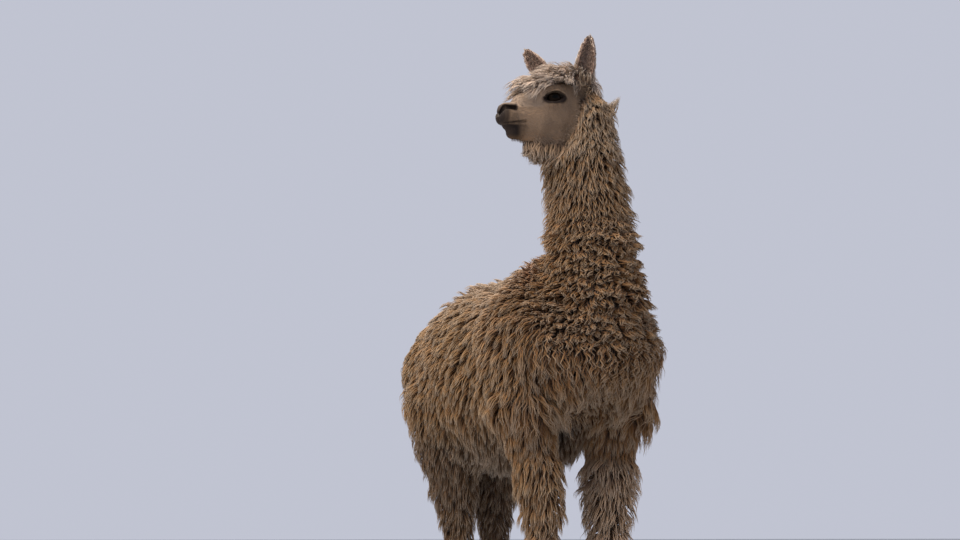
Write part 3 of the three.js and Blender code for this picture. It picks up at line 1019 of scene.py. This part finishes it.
def grow(at, roots, lie, travel, rise, steps):
    """Paths of locks along the lie, each rising to its height over the skin; and the skin's normals."""
    normal = unit(slope_of(at, roots, LOCK_STEP))
    point = roots.copy()
    path, normals = [roots - normal * SINK], [normal]
    for k in range(1, steps + 1):
        t = k / steps
        samples = [at(point + c * LOCK_STEP) for c in TETRAHEDRON]
        normal = unit(sum(c * v[:, None] for c, v in zip(TETRAHEDRON, samples)))
        height = np.mean(samples, axis=0)
        hang = smooth(0.45, 0.95, -normal[:, 2])[:, None]
        along = unit(lie - normal * (lie * normal).sum(1, keepdims=True)) * (1 - hang)
        along[:, 2] -= HANG_SHARE * hang[:, 0]
        goal = rise * (1 - (1 - t) ** 2)
        step = travel * (t**EASE_ALONG - (t - 1 / steps) ** EASE_ALONG)
        lift = (goal - height) * (1 - 0.8 * hang[:, 0])
        point = point + along * step[:, None] + normal * lift[:, None]
        point[:, 2] = np.maximum(point[:, 2], LOWEST)
        path.append(point)
        normals.append(normal)
    return np.stack(path, 1), np.stack(normals, 1)


def clump_owners(roots, style):
    """Each lock's clump, as the number of the lock in its middle."""
    cell = np.floor(roots / style[:, CLUMP, None]).astype(int) + KEY // 2
    _, centres = np.unique(key_of(cell), return_index=True)
    tree = KDTree(len(centres))
    for k, centre in enumerate(roots[centres]):
        tree.insert(centre, k)
    tree.balance()
    return centres[[tree.find(root)[1] for root in roots]]


def comb(path, normals, owner, style):
    """Gathers locks into clumps, each with waves in step, so that they end in shared points."""
    t = np.linspace(0, 1, path.shape[1])[None, :, None]
    pull = style[:, PULL, None, None] * RNG.uniform(0.7, 1.08, (len(path), 1, 1))
    pulled = path + (path[owner] - path) * np.minimum(pull * t**EASE_PULL, 0.96)
    tangent = unit(np.gradient(pulled, axis=1))
    across = unit(np.cross(tangent, normals))
    phase = RNG.uniform(0, 2 * math.pi, len(path))[owner] + RNG.normal(0, 0.45, len(path))
    turn = 2 * math.pi * style[:, TRAVEL] / style[:, WAVE]
    angle = phase[:, None] + turn[:, None] * t[..., 0] * RNG.uniform(0.85, 1.15, (len(path), 1))
    swing = style[:, SWING, None] * t[..., 0] ** 0.6 * RNG.uniform(0.6, 1.3, (len(path), 1))
    pulled += across * (swing * np.sin(angle))[..., None]
    pulled += normals * (0.6 * swing * np.cos(angle + 0.8))[..., None]
    pulled[..., 2] = np.maximum(pulled[..., 2], LOWEST)
    return pulled


CORNERS = np.radians([90, 210, 330])
FLATNESS = 0.62


def girth_along(t):
    """A lock's width from its root to its tip, as a share of the widest."""
    return (0.62 + 0.38 * np.sin(math.pi * np.minimum(t * 1.15, 1))) * (1 - t**3.2)


def lock_mesh(name, path, normals, width, values, places):
    """One mesh of tapered three-sided locks; `places` puts each one's patch on the skin's unwrap."""
    count, rings = path.shape[0], path.shape[1] - 1
    jitter = unit(RNG.normal(size=(count, 1, 3)))
    tangent = unit(np.gradient(path, axis=1))
    across = unit(np.cross(tangent, normals + 0.3 * jitter))
    outward = np.cross(across, tangent)
    t = np.linspace(0, 1, rings + 1)
    size = width[:, None] / 2 * girth_along(t)[None]
    corners = []
    for a in CORNERS:
        aside, above = math.cos(a) * size, math.sin(a) * size * FLATNESS
        corners.append(path + across * aside[..., None] + outward * above[..., None])
    shell = np.stack(corners, 2)[:, :-1]  # lock, ring, corner, place
    points = np.concatenate([shell.reshape(count, -1, 3), path[:, -1:]], 1)
    per_lock = rings * 3 + 1

    faces = [(0, 2, 1)]
    edges = [(ring * 3 + k, ring * 3 + (k + 1) % 3) for ring in range(rings) for k in range(3)]
    for a, b in edges[:-3]:
        faces += [(a, b, b + 3), (a, b + 3, a + 3)]
    faces += [(a, b, rings * 3) for a, b in edges[-3:]]
    loops = (np.arange(count)[:, None, None] * per_lock + np.array(faces)).reshape(-1)
    starts = np.arange(0, len(loops), 3)

    along = np.concatenate([np.repeat(t[:-1], 3), [1.0]])
    corner = np.concatenate([np.tile([0.5, 0.0, 1.0], rings), [0.5]])
    attributes = [("Along", np.tile(along, count)), ("Across", np.tile(corner, count))]
    attributes += [(label, np.repeat(row, per_lock)) for label, row in values.items()]
    patch = UV_PATCH * np.stack([corner - 0.5, along - 0.5], 1)
    uv = (places[:, None] + patch[None]).reshape(-1, 2)[loops]
    return mesh_object(name, points.reshape(-1, 3), loops, starts, attributes, uv)


# ---- Unwraps: where each root's patch lies on its piece's map ----

UV_PATCH = 0.003


def unwrap(points, centre, axis, forward, low, high):
    """Wraps the skin round an axis: the turn round it across the map, the place along it up."""
    q = points - centre
    along = q @ axis
    side = np.cross(axis, forward)
    turn = np.arctan2(q @ side, q @ forward) / (2 * math.pi) + 0.5
    share = np.clip((along - low) / (high - low), 0, 1)
    return 0.01 + 0.98 * np.stack([turn, share], 1)


UP, AHEAD = np.array([0, 0, 1.0]), np.array([0, -1.0, 0])


def unwrap_trunk(points):
    return unwrap(points, np.array([0, 0, 600.0]), -AHEAD, UP, -260, 760)


def unwrap_neck(points):
    q = points.copy()
    q[:, 0] += 0.12 * (q[:, 2] - 660)
    q[:, 1] += 100
    return unwrap(q, np.zeros(3), UP, AHEAD, 560, 1300)


def unwrap_legs(points):
    """Each leg, and with it its foot, has a quarter of the map."""
    out = np.zeros((len(points), 2))
    quarter = (points[:, 0] > 0) * 1 + (points[:, 1] > 240) * 2
    for k, (x, y) in enumerate([FRONT_FEET[-1], FRONT_FEET[1], HIND_FEET[-1], HIND_FEET[1]]):
        mine = quarter == k
        flat = unwrap(points[mine], np.array([x, y, 0.0]), UP, AHEAD, 0, 620)
        out[mine] = flat / 2 + [0.5 * (k % 2), 0.5 * (k // 2)]
    return out


def unwrap_head(points):
    return unwrap(points, on_head(0, 0, -75), HEAD_AXES[0], UP, -120, 230)


def unwrap_ears(points):
    out = np.zeros((len(points), 2))
    for k, s in enumerate(SIDES):
        along, open_to, _ = ear_frame(s)
        mine = ear_distance(s, points)[0] < 60
        mine &= ear_distance(s, points)[0] <= ear_distance(-s, points)[0]
        flat = unwrap(points[mine], EARS[s][0] + open_to * 4, along, open_to, -30, 130)
        out[mine] = flat * [0.5, 1] + [0.5 * k, 0]
    return out


# ---- The coat's pieces ----

# Region, the number of steps along a lock, and the unwrap
PIECES = {
    "trunk": (5, unwrap_trunk),
    "neck": (6, unwrap_neck),
    "tail": (5, unwrap_trunk),
    "leg": (5, unwrap_legs),
    "foot": (3, unwrap_legs),
    "head": (6, unwrap_head),
    "face": (3, unwrap_head),
    "ear": (4, unwrap_ears),
}
MOST_TRIANGLES = 195000
UNEVEN_LIE = 0.10
TRAVEL_RANGE, WIDTH_RANGE = (0.82, 1.12), (0.6, 1.2)  # shares of the style's


def make_coat(vertices, faces, fleece, face_hair):
    roots, normals = place_roots(vertices, faces)
    share, depth = survey(roots)
    inside = ear_inside(roots, normals)
    style = style_of(roots, normals, share, inside)
    lie = unit(lie_of(roots, share) + RNG.normal(0, UNEVEN_LIE, roots.shape))
    kind = np.array(REGIONS)[share.argmax(1)]
    wool, _ = wool_on_head(roots)
    kind[(kind == "head") & (wool == 0)] = "face"

    clump_rise, clump_travel = RNG.random((2, len(roots)))
    rise = depth * wool_shape(roots, kind) * (0.60 + 0.40 * RNG.random(len(roots)) ** 0.6)
    travel = style[:, TRAVEL] * RNG.uniform(*TRAVEL_RANGE, len(roots))
    # On the trunk, locks are long along its hem, and short between the forelegs and on the back
    x, y, z = roots.T
    trunk = kind == "trunk"
    hem = trunk * smooth(540, 430, z)
    hem *= 1 - 0.8 * smooth(90, 140, x) * smooth(160, 110, y)
    under = smooth(0.5, 0.9, -normals[:, 2]) * smooth(150, 90, y) * smooth(80, 45, np.abs(x + 10))
    travel *= 1 + 0.30 * hem - 0.75 * under * trunk
    travel *= 1 - 0.22 * trunk * smooth(740, 790, z)
    width = style[:, WIDTH] * RNG.uniform(*WIDTH_RANGE, len(roots))
    values = markings(roots)
    values["Red"] = np.maximum(values["Red"], 0.55 * inside)
    values["Hollow"] = inside * 1.0

    for label, (steps, flatten) in PIECES.items():
        mine = np.flatnonzero(kind == label)
        at = body_at if label in ("face", "ear", "foot") else wool_base.at
        owner = clump_owners(roots[mine], style[mine])
        leader = mine[owner]
        high = rise[mine] * (0.58 + 0.42 * clump_rise[leader] ** 0.7)
        if label == "face":
            high = RNG.uniform(0.5, 1.3, len(mine)) * (1 + 5 * near_wool(roots[mine]))
        high = np.where(inside[mine], RNG.uniform(1.5, 5.0, len(mine)), high)
        far = travel[mine] * (0.85 + 0.30 * clump_travel[leader])
        path, tops = grow(at, roots[mine], lie[mine], far, high, steps)
        path = comb(path, tops, owner, style[mine])
        own, shared = RNG.normal(0, 1, (2, len(mine)))
        tint = np.clip(0.5 + 0.10 * own + 0.15 * shared[owner], 0, 1)
        places = flatten(roots[mine])
        per_lock = (steps - 1) * 6 + 4
        parts = math.ceil(len(mine) * per_lock / MOST_TRIANGLES)
        order = np.argsort(roots[mine][:, 0] if parts < 4 else split_key(roots[mine]))
        for k, chunk in enumerate(np.array_split(order, parts)):
            chosen = mine[chunk]
            marks = {name: row[chosen] for name, row in values.items()}
            marks["Tint"] = tint[chunk]
            name = f"coat_{label}" if parts == 1 else f"coat_{label}_{k + 1}"
            piece = lock_mesh(name, path[chunk], tops[chunk], width[chosen], marks, places[chunk])
            slot = "face" if label in ("face", "ear") else "fleece"
            finish_piece(piece, face_hair if label == "face" else fleece, slot)


def split_key(points):
    """Sorts the trunk's locks into right and left, and from front to back within each."""
    longer_than_the_trunk = 5000
    return (points[:, 0] > 0) * longer_than_the_trunk + points[:, 1]


# ---- Eyes ----


PUPIL_WIDTH, PUPIL_HEIGHT = 8.5, 5.0  # half of each


def make_eye(side, material):
    """A globe with the bulge of a cornea over a dark iris with a wide pupil."""
    rings, spokes = 40, 48
    theta = np.linspace(0, math.pi, rings + 1)[1:-1, None]
    phi = np.linspace(0, 2 * math.pi, spokes, endpoint=False)[None]
    radius = EYE_RADIUS - 0.4 + 1.1 * np.exp(-((theta / 0.62) ** 4)) + 0 * phi
    local = [np.cos(theta) + 0 * phi, np.sin(theta) * np.cos(phi), np.sin(theta) * np.sin(phi)]
    shell = (np.stack(local, -1) * radius[..., None]).reshape(-1, 3)
    poles = np.array([[radius[0, 0], 0, 0], [-radius[-1, 0], 0, 0]])
    points = np.concatenate([shell, poles]) @ np.array(eye_axes(side)) + eye_centre(side)
    index = np.arange((rings - 1) * spokes).reshape(rings - 1, spokes)
    ahead = np.roll(index, -1, axis=1)
    quads = np.stack([index[:-1], index[1:], ahead[1:], ahead[:-1]], -1).reshape(-1, 4)
    for pole, a, b in ((len(shell), index[0], ahead[0]), (len(shell) + 1, ahead[-1], index[-1])):
        quads = np.concatenate([quads, np.stack([np.full(spokes, pole), a, b, b], -1)])
    if side < 0:
        quads = quads[:, ::-1]
    loops, starts = faces_to_loops(quads)
    ahead, fore, up = from_eye(side, points)
    angle = np.arccos(np.clip(ahead / np.linalg.norm(points - eye_centre(side), axis=1), -1, 1))
    pupil = np.hypot(fore / PUPIL_WIDTH, up / PUPIL_HEIGHT)
    name = SIDE_NAMES[side]
    marks = [("Angle", angle), ("Pupil", pupil)]
    globe = mesh_object("eye_globe_" + name, points, loops, starts, marks)
    finish_piece(globe, material, "eye", "eye_" + name)


# ---- Node materials ----


class Nodes:
    """Builds a node material in few words."""

    def __init__(self, name):
        self.material = bpy.data.materials.new(name)
        self.material.use_nodes = True
        self.tree = self.material.node_tree
        self.shader = next(n for n in self.tree.nodes if n.type == "BSDF_PRINCIPLED")

    def add(self, kind, inputs=(), **settings):
        node = self.tree.nodes.new("ShaderNode" + kind)
        for key, value in settings.items():
            setattr(node, key, value)
        for socket, value in dict(inputs).items():
            self.feed(node, socket, value)
        return node

    def feed(self, node, socket, value):
        if isinstance(value, bpy.types.NodeSocket):
            self.tree.links.new(value, node.inputs[socket])
        elif isinstance(value, bpy.types.Node):
            self.tree.links.new(value.outputs[0], node.inputs[socket])
        else:
            node.inputs[socket].default_value = value

    def attribute(self, name, share=1):
        """An attribute of the mesh, or a share of it."""
        value = self.add("Attribute", attribute_name=name).outputs["Fac"]
        return value if share == 1 else self.part_of(value, share)

    def noise(self, scale, detail=4.0, stretch=None, where=None):
        """Noise over the animal's own frame or `where`, scaled, and stretched along each axis."""
        where = where or self.add("TexCoord").outputs["Object"]
        if stretch:
            where = self.add("Mapping", {"Vector": where, "Scale": stretch})
        inputs = {"Scale": scale, "Detail": detail, "Roughness": 0.55, "Vector": where}
        return self.add("TexNoise", inputs).outputs["Fac"]

    def ramp(self, value, *stops):
        """A colour ramp; each stop is a place and a colour or a grey."""
        node = self.add("ValToRGB", {"Fac": value})
        elements = node.color_ramp.elements
        for place, _ in stops[2:]:
            elements.new(place)
        for element, (place, colour) in zip(elements, stops):
            element.position = place
            if not isinstance(colour, tuple):
                colour = (colour,) * 3
            element.color = (*colour, 1)
        return node.outputs["Color"]

    def mix(self, share, a, b, mode="MIX"):
        node = self.add("Mix", data_type="RGBA", blend_type=mode)
        self.feed(node, 0, share)
        for socket, value in ((6, a), (7, b)):
            self.feed(node, socket, (*value, 1) if isinstance(value, tuple) else value)
        return node.outputs[2]

    def shade(self, base, tone):
        return self.mix(1.0, base, tone, "MULTIPLY")

    def part_of(self, value, share):
        return self.add("Math", {0: value, 1: share}, operation="MULTIPLY").outputs[0]

    def bump(self, height, distance, strength=1.0):
        inputs = {"Height": height, "Distance": distance, "Strength": strength}
        return self.add("Bump", inputs).outputs["Normal"]

    def surface(self, **inputs):
        for socket, value in inputs.items():
            self.feed(self.shader, socket.replace("_", " "), value)
        return self.material


# ---- Stage ----


# Metres in the frame, and watts
FLOOR_REACH = 60.0
LAMPS = {  # place, size and power
    "key": ((-2.9, -1.2, 3.9), 2.2, 165),
    "top": ((-0.8, 1.4, 4.4), 2.6, 150),
    "rim": ((2.6, 3.0, 3.0), 2.4, 40),
}
LAMP_AIM = Vector((0, 0, 0.7))
LAMP_COLOUR = 1.0, 0.865, 0.72
STUDIO_COLOUR = 0.53, 0.55, 0.64, 1
CAMERA_PLACE = np.array([-2351.0, -3762.0, 175.0])  # millimetres, in the animal's own frame
CAMERA_TURN = math.radians(-29)
CAMERA_PITCH = math.radians(8.505)
CAMERA_LENS, CAMERA_SENSOR = 66.45, 36


def placed(name, data, place, gaze):
    """Links a new object that looks along `gaze`."""
    obj = bpy.data.objects.new(name, data)
    obj.location = place
    obj.rotation_euler = gaze.to_track_quat("-Z", "Y").to_euler()
    bpy.context.scene.collection.objects.link(obj)
    return obj


def make_stage():
    mesh = bpy.data.meshes.new("floor")
    corners = [(x * FLOOR_REACH, y * FLOOR_REACH, 0) for x, y in ((-1, -1), (1, -1), (1, 1), (-1, 1))]
    mesh.from_pydata(corners, [], [(0, 1, 2, 3)])
    floor = bpy.data.objects.new("floor", mesh)
    bpy.context.scene.collection.objects.link(floor)
    floor.data.materials.append(floor_material())

    world = bpy.data.worlds.new("studio")
    world.use_nodes = True
    background = world.node_tree.nodes["Background"]
    background.inputs["Color"].default_value = STUDIO_COLOUR
    background.inputs["Strength"].default_value = 1.0
    bpy.context.scene.world = world
    for name, (place, size, power) in LAMPS.items():
        light = bpy.data.lights.new(name, "AREA")
        light.shape = "DISK"
        light.size, light.energy, light.color = size, power, LAMP_COLOUR
        placed(name, light, place, LAMP_AIM - Vector(place))


def make_camera():
    data = bpy.data.cameras.new("camera")
    data.sensor_width, data.lens = CAMERA_SENSOR, CAMERA_LENS
    level = Vector((-math.sin(CAMERA_TURN), math.cos(CAMERA_TURN), 0))
    gaze = level * math.cos(CAMERA_PITCH) + Vector((0, 0, math.sin(CAMERA_PITCH)))
    bpy.context.scene.camera = placed("camera", data, to_frame(CAMERA_PLACE), gaze)


# ---- Colours and materials ----

WOOL, WARM_WOOL, PALE_WOOL = (0.51, 0.35, 0.185), (0.45, 0.255, 0.088), (0.93, 0.78, 0.655)
FACE, WARM_FACE, DARK_SKIN_AND_SHADE = (0.268, 0.184, 0.120), (0.23, 0.135, 0.072), (0.018, 0.010, 0.007)
DYE, DYE_SHARE = (0.36, 0.11, 0.06), 0.55
HOLLOW_SHARE = 0.8  # how much of the ear's inner colour its hollow takes
WHITE = 1.0, 1.0, 1.0


def coat_colour(made):
    """The coat's colour by its markings, painted light and shade among them: what the skin and the locks
    share.
    """
    base = made.mix(made.attribute("Warm"), WOOL, WARM_WOOL)
    base = made.mix(made.attribute("Pale"), base, PALE_WOOL)
    base = made.mix(made.attribute("Red", DYE_SHARE), base, DYE)
    face = made.mix(made.attribute("Warm"), FACE, WARM_FACE)
    base = made.mix(made.attribute("Face"), base, face)
    # Bare dark skin, and painted shade where the Dark marking holds it
    return made.mix(made.attribute("Dark"), base, DARK_SKIN_AND_SHADE)


def fleece_material():
    made = Nodes("fleece")
    along, across = made.attribute("Along"), made.attribute("Across")
    base = made.mix(made.attribute("Hollow", HOLLOW_SHARE), coat_colour(made), (0.13, 0.065, 0.04))
    base = made.shade(base, made.ramp(made.attribute("Tint"), (0.0, 0.52), (1.0, 1.0)))
    # Each lock darkens towards its root, less so in pale wool: painted shade
    deep, half, upper = (0.25, 0.14, 0.055), (0.60, 0.46, 0.315), (0.94, 0.90, 0.85)
    depth = made.ramp(along, (0.0, deep), (0.45, half), (0.8, upper), (1.0, 1.0))
    base = made.shade(base, made.mix(made.attribute("Pale", 0.60), depth, WHITE))
    # Each lock's tip is paled: a painted highlight
    base = made.mix(made.ramp(along, (0.62, 0.0), (1.0, 0.50)), base, (0.70, 0.60, 0.495))
    streak = made.add("CombineXYZ", {"X": across, "Y": made.part_of(along, 0.4)})
    fibres = made.noise(1.0, 2.0, (9.0, 4.0, 1.0), streak.outputs[0])
    base = made.mix(0.30, base, made.ramp(fibres, (0.3, 0.55), (0.7, 1.0)), "MULTIPLY")
    normal = made.bump(fibres, 0.0016, 0.7)
    sheen = dict(Sheen_Weight=0.15, Sheen_Roughness=0.5)
    return made.surface(Base_Color=base, Roughness=0.85, Normal=normal, **sheen)


def face_hair_material():
    """Short hair over the face: as the skin under it, a little paler, with painted shade darkening each
    hair towards its root.
    """
    made = Nodes("face_hair")
    paler = made.ramp(made.attribute("Dark"), (0.1, 0.14), (0.4, 0.0))
    base = made.mix(paler, coat_colour(made), (0.8, 0.68, 0.58))
    # Tint varies the tone; Along darkens each hair towards its root as painted shade
    for name in ("Tint", "Along"):
        base = made.shade(base, made.ramp(made.attribute(name), (0.0, 0.80), (1.0, 1.0)))
    hair = made.noise(1.0, 2.0, (500.0, 900.0, 900.0))
    return made.surface(Base_Color=base, Roughness=0.8, Normal=made.bump(hair, 0.0006, 0.4))


def skin_material():
    """Short hair over the face, bare dark skin on nose and lips, and shade under the fleece."""
    made = Nodes("face_skin")
    base = made.shade(coat_colour(made), made.ramp(made.noise(28.0), (0.3, 0.76), (0.7, 1.0)))
    base = made.mix(made.attribute("Under"), base, (0.075, 0.042, 0.022))
    base = made.mix(made.attribute("Hollow", HOLLOW_SHARE), base, (0.145, 0.070, 0.046))
    hair, pores = made.noise(1.0, 3.0, (420.0, 900.0, 900.0)), made.noise(700.0, 2.0)
    normal = made.bump(made.mix(made.attribute("Dark"), hair, pores), 0.0014, 0.7)
    gloss = made.ramp(made.attribute("Dark"), (0.4, 0.80), (1.0, 0.62))
    return made.surface(Base_Color=base, Roughness=gloss, Normal=normal, Specular_IOR_Level=0.22)


def eye_material():
    """A dark brown iris round a wide level pupil, under a wet cornea."""
    made = Nodes("eye")
    iris = made.mix(made.noise(260.0, 3.0), (0.005, 0.003, 0.002), (0.014, 0.008, 0.005))
    pupil = made.ramp(made.attribute("Pupil"), (0.9, 0.0), (1.1, 1.0))
    base = made.mix(pupil, (0.002, 0.002, 0.002), iris)
    base = made.shade(base, made.ramp(made.attribute("Angle"), (0.75, 1.0), (0.95, 0.15)))
    return made.surface(Base_Color=base, Roughness=0.10, Specular_IOR_Level=0.05)


def floor_material():
    made = Nodes("floor_pale")
    tone = made.ramp(made.noise(1.7, 3.0), (0.3, (0.56, 0.56, 0.57)), (0.7, (0.60, 0.60, 0.61)))
    return made.surface(Base_Color=tone, Roughness=0.8, Normal=made.bump(made.noise(90.0), 0.0005))


def horn_material():
    made = Nodes("horn")
    grain = made.noise(1.0, 4.0, (60.0, 260.0, 60.0))
    base = made.ramp(grain, (0.25, (0.045, 0.032, 0.024)), (0.75, (0.15, 0.115, 0.085)))
    return made.surface(Base_Color=base, Roughness=0.45, Normal=made.bump(grain, 0.0006, 0.6))


def lash_material():
    made = Nodes("lashes")
    tone = made.ramp(made.noise(180.0, 2.0), (0.3, (0.012, 0.009, 0.007)), (0.7, (0.05, 0.035, 0.025)))
    return made.surface(Base_Color=tone, Roughness=0.5)


# ---- Nails and lashes ----


def make_nails(material):
    """Each nail replaces the node that lies closest to it."""
    nodes = [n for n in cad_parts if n.startswith("nail")]
    middles = np.array([middle(n) for n in nodes])
    for _, foot in LEGS:
        for toe in SIDES:
            nail = nail_field(foot, toe)
            low, high = merged_box([nail])
            vertices, faces = surface_mesh(nail.at, low - 4, high + 4, None, 1.6, 1)
            vertices = settle(nail.at, vertices, 1.0)
            at = to_frame((low + high) / 2)
            node = nodes[int(np.argmin(np.linalg.norm(middles - at, axis=1)))]
            made = mesh_object(node + "_horn", vertices, *faces_to_loops(faces))
            finish_piece(made, material, "nail", node)


LASH_WIDTH = 1.4


def make_lashes(material):
    """Curved lashes along each upper lid, longest behind its middle."""
    steps, count = 5, 46
    t = np.linspace(0, 1, steps + 1)[None, :, None]
    for s in SIDES:
        out, fore, up = eye_axes(s)
        share = np.linspace(-1, 1, count) + RNG.uniform(-0.02, 0.02, count)
        root = [eye_place(s, 20 - 8 * a * a, -25 * a, 11.5 - 11 * a * a - 1.5 * a) for a in share]
        length = 13 - 6 * (share - 0.2) ** 2 + RNG.uniform(-1.5, 1.5, count)
        sweep = out * 0.95 - fore * (0.75 * share[:, None]) - up * 0.35
        way = unit(sweep)[:, None] * length[:, None, None]
        path = np.stack(root)[:, None] + way * t + up * 5.0 * (t * t) - out * 1.5 * t * t
        normals = np.broadcast_to(up, path.shape)
        name = "lashes_" + SIDE_NAMES[s]
        places = np.stack([0.5 + 0.4 * share, np.full(count, 0.5)], 1)
        piece = lock_mesh(name, path, normals, np.full(count, LASH_WIDTH), {}, places)
        finish_piece(piece, material, "eye")


# ---- Stray locks ----

# On the head: root, tip, bow, spread of its roots, number of strands
STRAYS = [
    ((118, 8, -14), (205, 2, -53), (0, 0, 16), 12, 16),
    ((112, -14, -10), (196, -14, -30), (0, 0, 14), 12, 14),
    ((112, 26, -18), (176, 34, -44), (0, 6, 12), 10, 12),
    ((-62, 8, -88), (-141, 0, -6), (-6, 0, -8), 26, 90),
    ((-58, 4, -78), (-122, 0, -20), (-6, 0, -6), 26, 60),
    ((104, 6, -154), (154, 4, -190), (0, 0, -10), 18, 40),
    ((70, -6, -162), (128, -4, -208), (0, 0, -12), 20, 30),
    ((50, 14, -168), (100, 12, -226), (6, 0, -8), 20, 30),
]


def make_strays(material):
    """Long locks that stand out: over the brow, at the nape and under the throat."""
    steps = 7
    t = np.linspace(0, 1, steps + 1)[None, :, None]
    paths, roots = [], []
    for root, tip, bow, spread, count in STRAYS:
        start = np.array(root) + RNG.normal(0, spread / 2, (count, 3))
        end = np.array(tip) + RNG.normal(0, 2.2, (count, 3))
        end = start + (end - start) * RNG.uniform(0.7, 1.0, (count, 1))
        arch = 4 * t * (1 - t) * np.array(bow, float)
        wave = RNG.normal(0, 1.6, (count, 1, 3)) * np.sin(t * RNG.uniform(6, 14, (count, 1, 1)))
        local = start[:, None] * (1 - t) + end[:, None] * t + arch + wave
        paths.append(POLL + local @ HEAD_AXES)
        roots.append(POLL + start @ HEAD_AXES)
    path, roots = np.concatenate(paths), np.concatenate(roots)
    normals = np.broadcast_to(unit(np.array([-0.2, -0.3, 1.0])), path.shape)
    values = markings(roots)
    values["Dark"] = values["Dark"] * 0
    values["Hollow"] = np.zeros(len(roots))
    values["Tint"] = np.clip(RNG.normal(0.6, 0.15, len(roots)), 0, 1)
    width = RNG.uniform(3.6, 5.6, len(roots))
    piece = lock_mesh("coat_strays", path, normals, width, values, unwrap_head(roots))
    finish_piece(piece, material, "fleece")


# ---- The scene ----

bpy.context.scene.view_settings.view_transform = "Standard"
make_camera()
make_stage()
FLESH = [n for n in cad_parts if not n.startswith(("eye", "nail"))]
skin_vertices, skin_faces = make_skin()
skin_marks = markings(skin_vertices)
skin_marks["Under"] = smooth(13, 26, survey(skin_vertices)[1])
skin_marks["Hollow"] = 1.0 * ear_inside(skin_vertices, skin_normals(skin_vertices))
skin = mesh_object("skin", skin_vertices, *faces_to_loops(skin_faces), skin_marks.items())
finish_piece(skin, skin_material(), "face", *FLESH)
fleece = fleece_material()
make_coat(skin_vertices, skin_faces, fleece, face_hair_material())
make_strays(fleece)
for side in SIDES:
    make_eye(side, eye_material())
make_nails(horn_material())
make_lashes(lash_material())
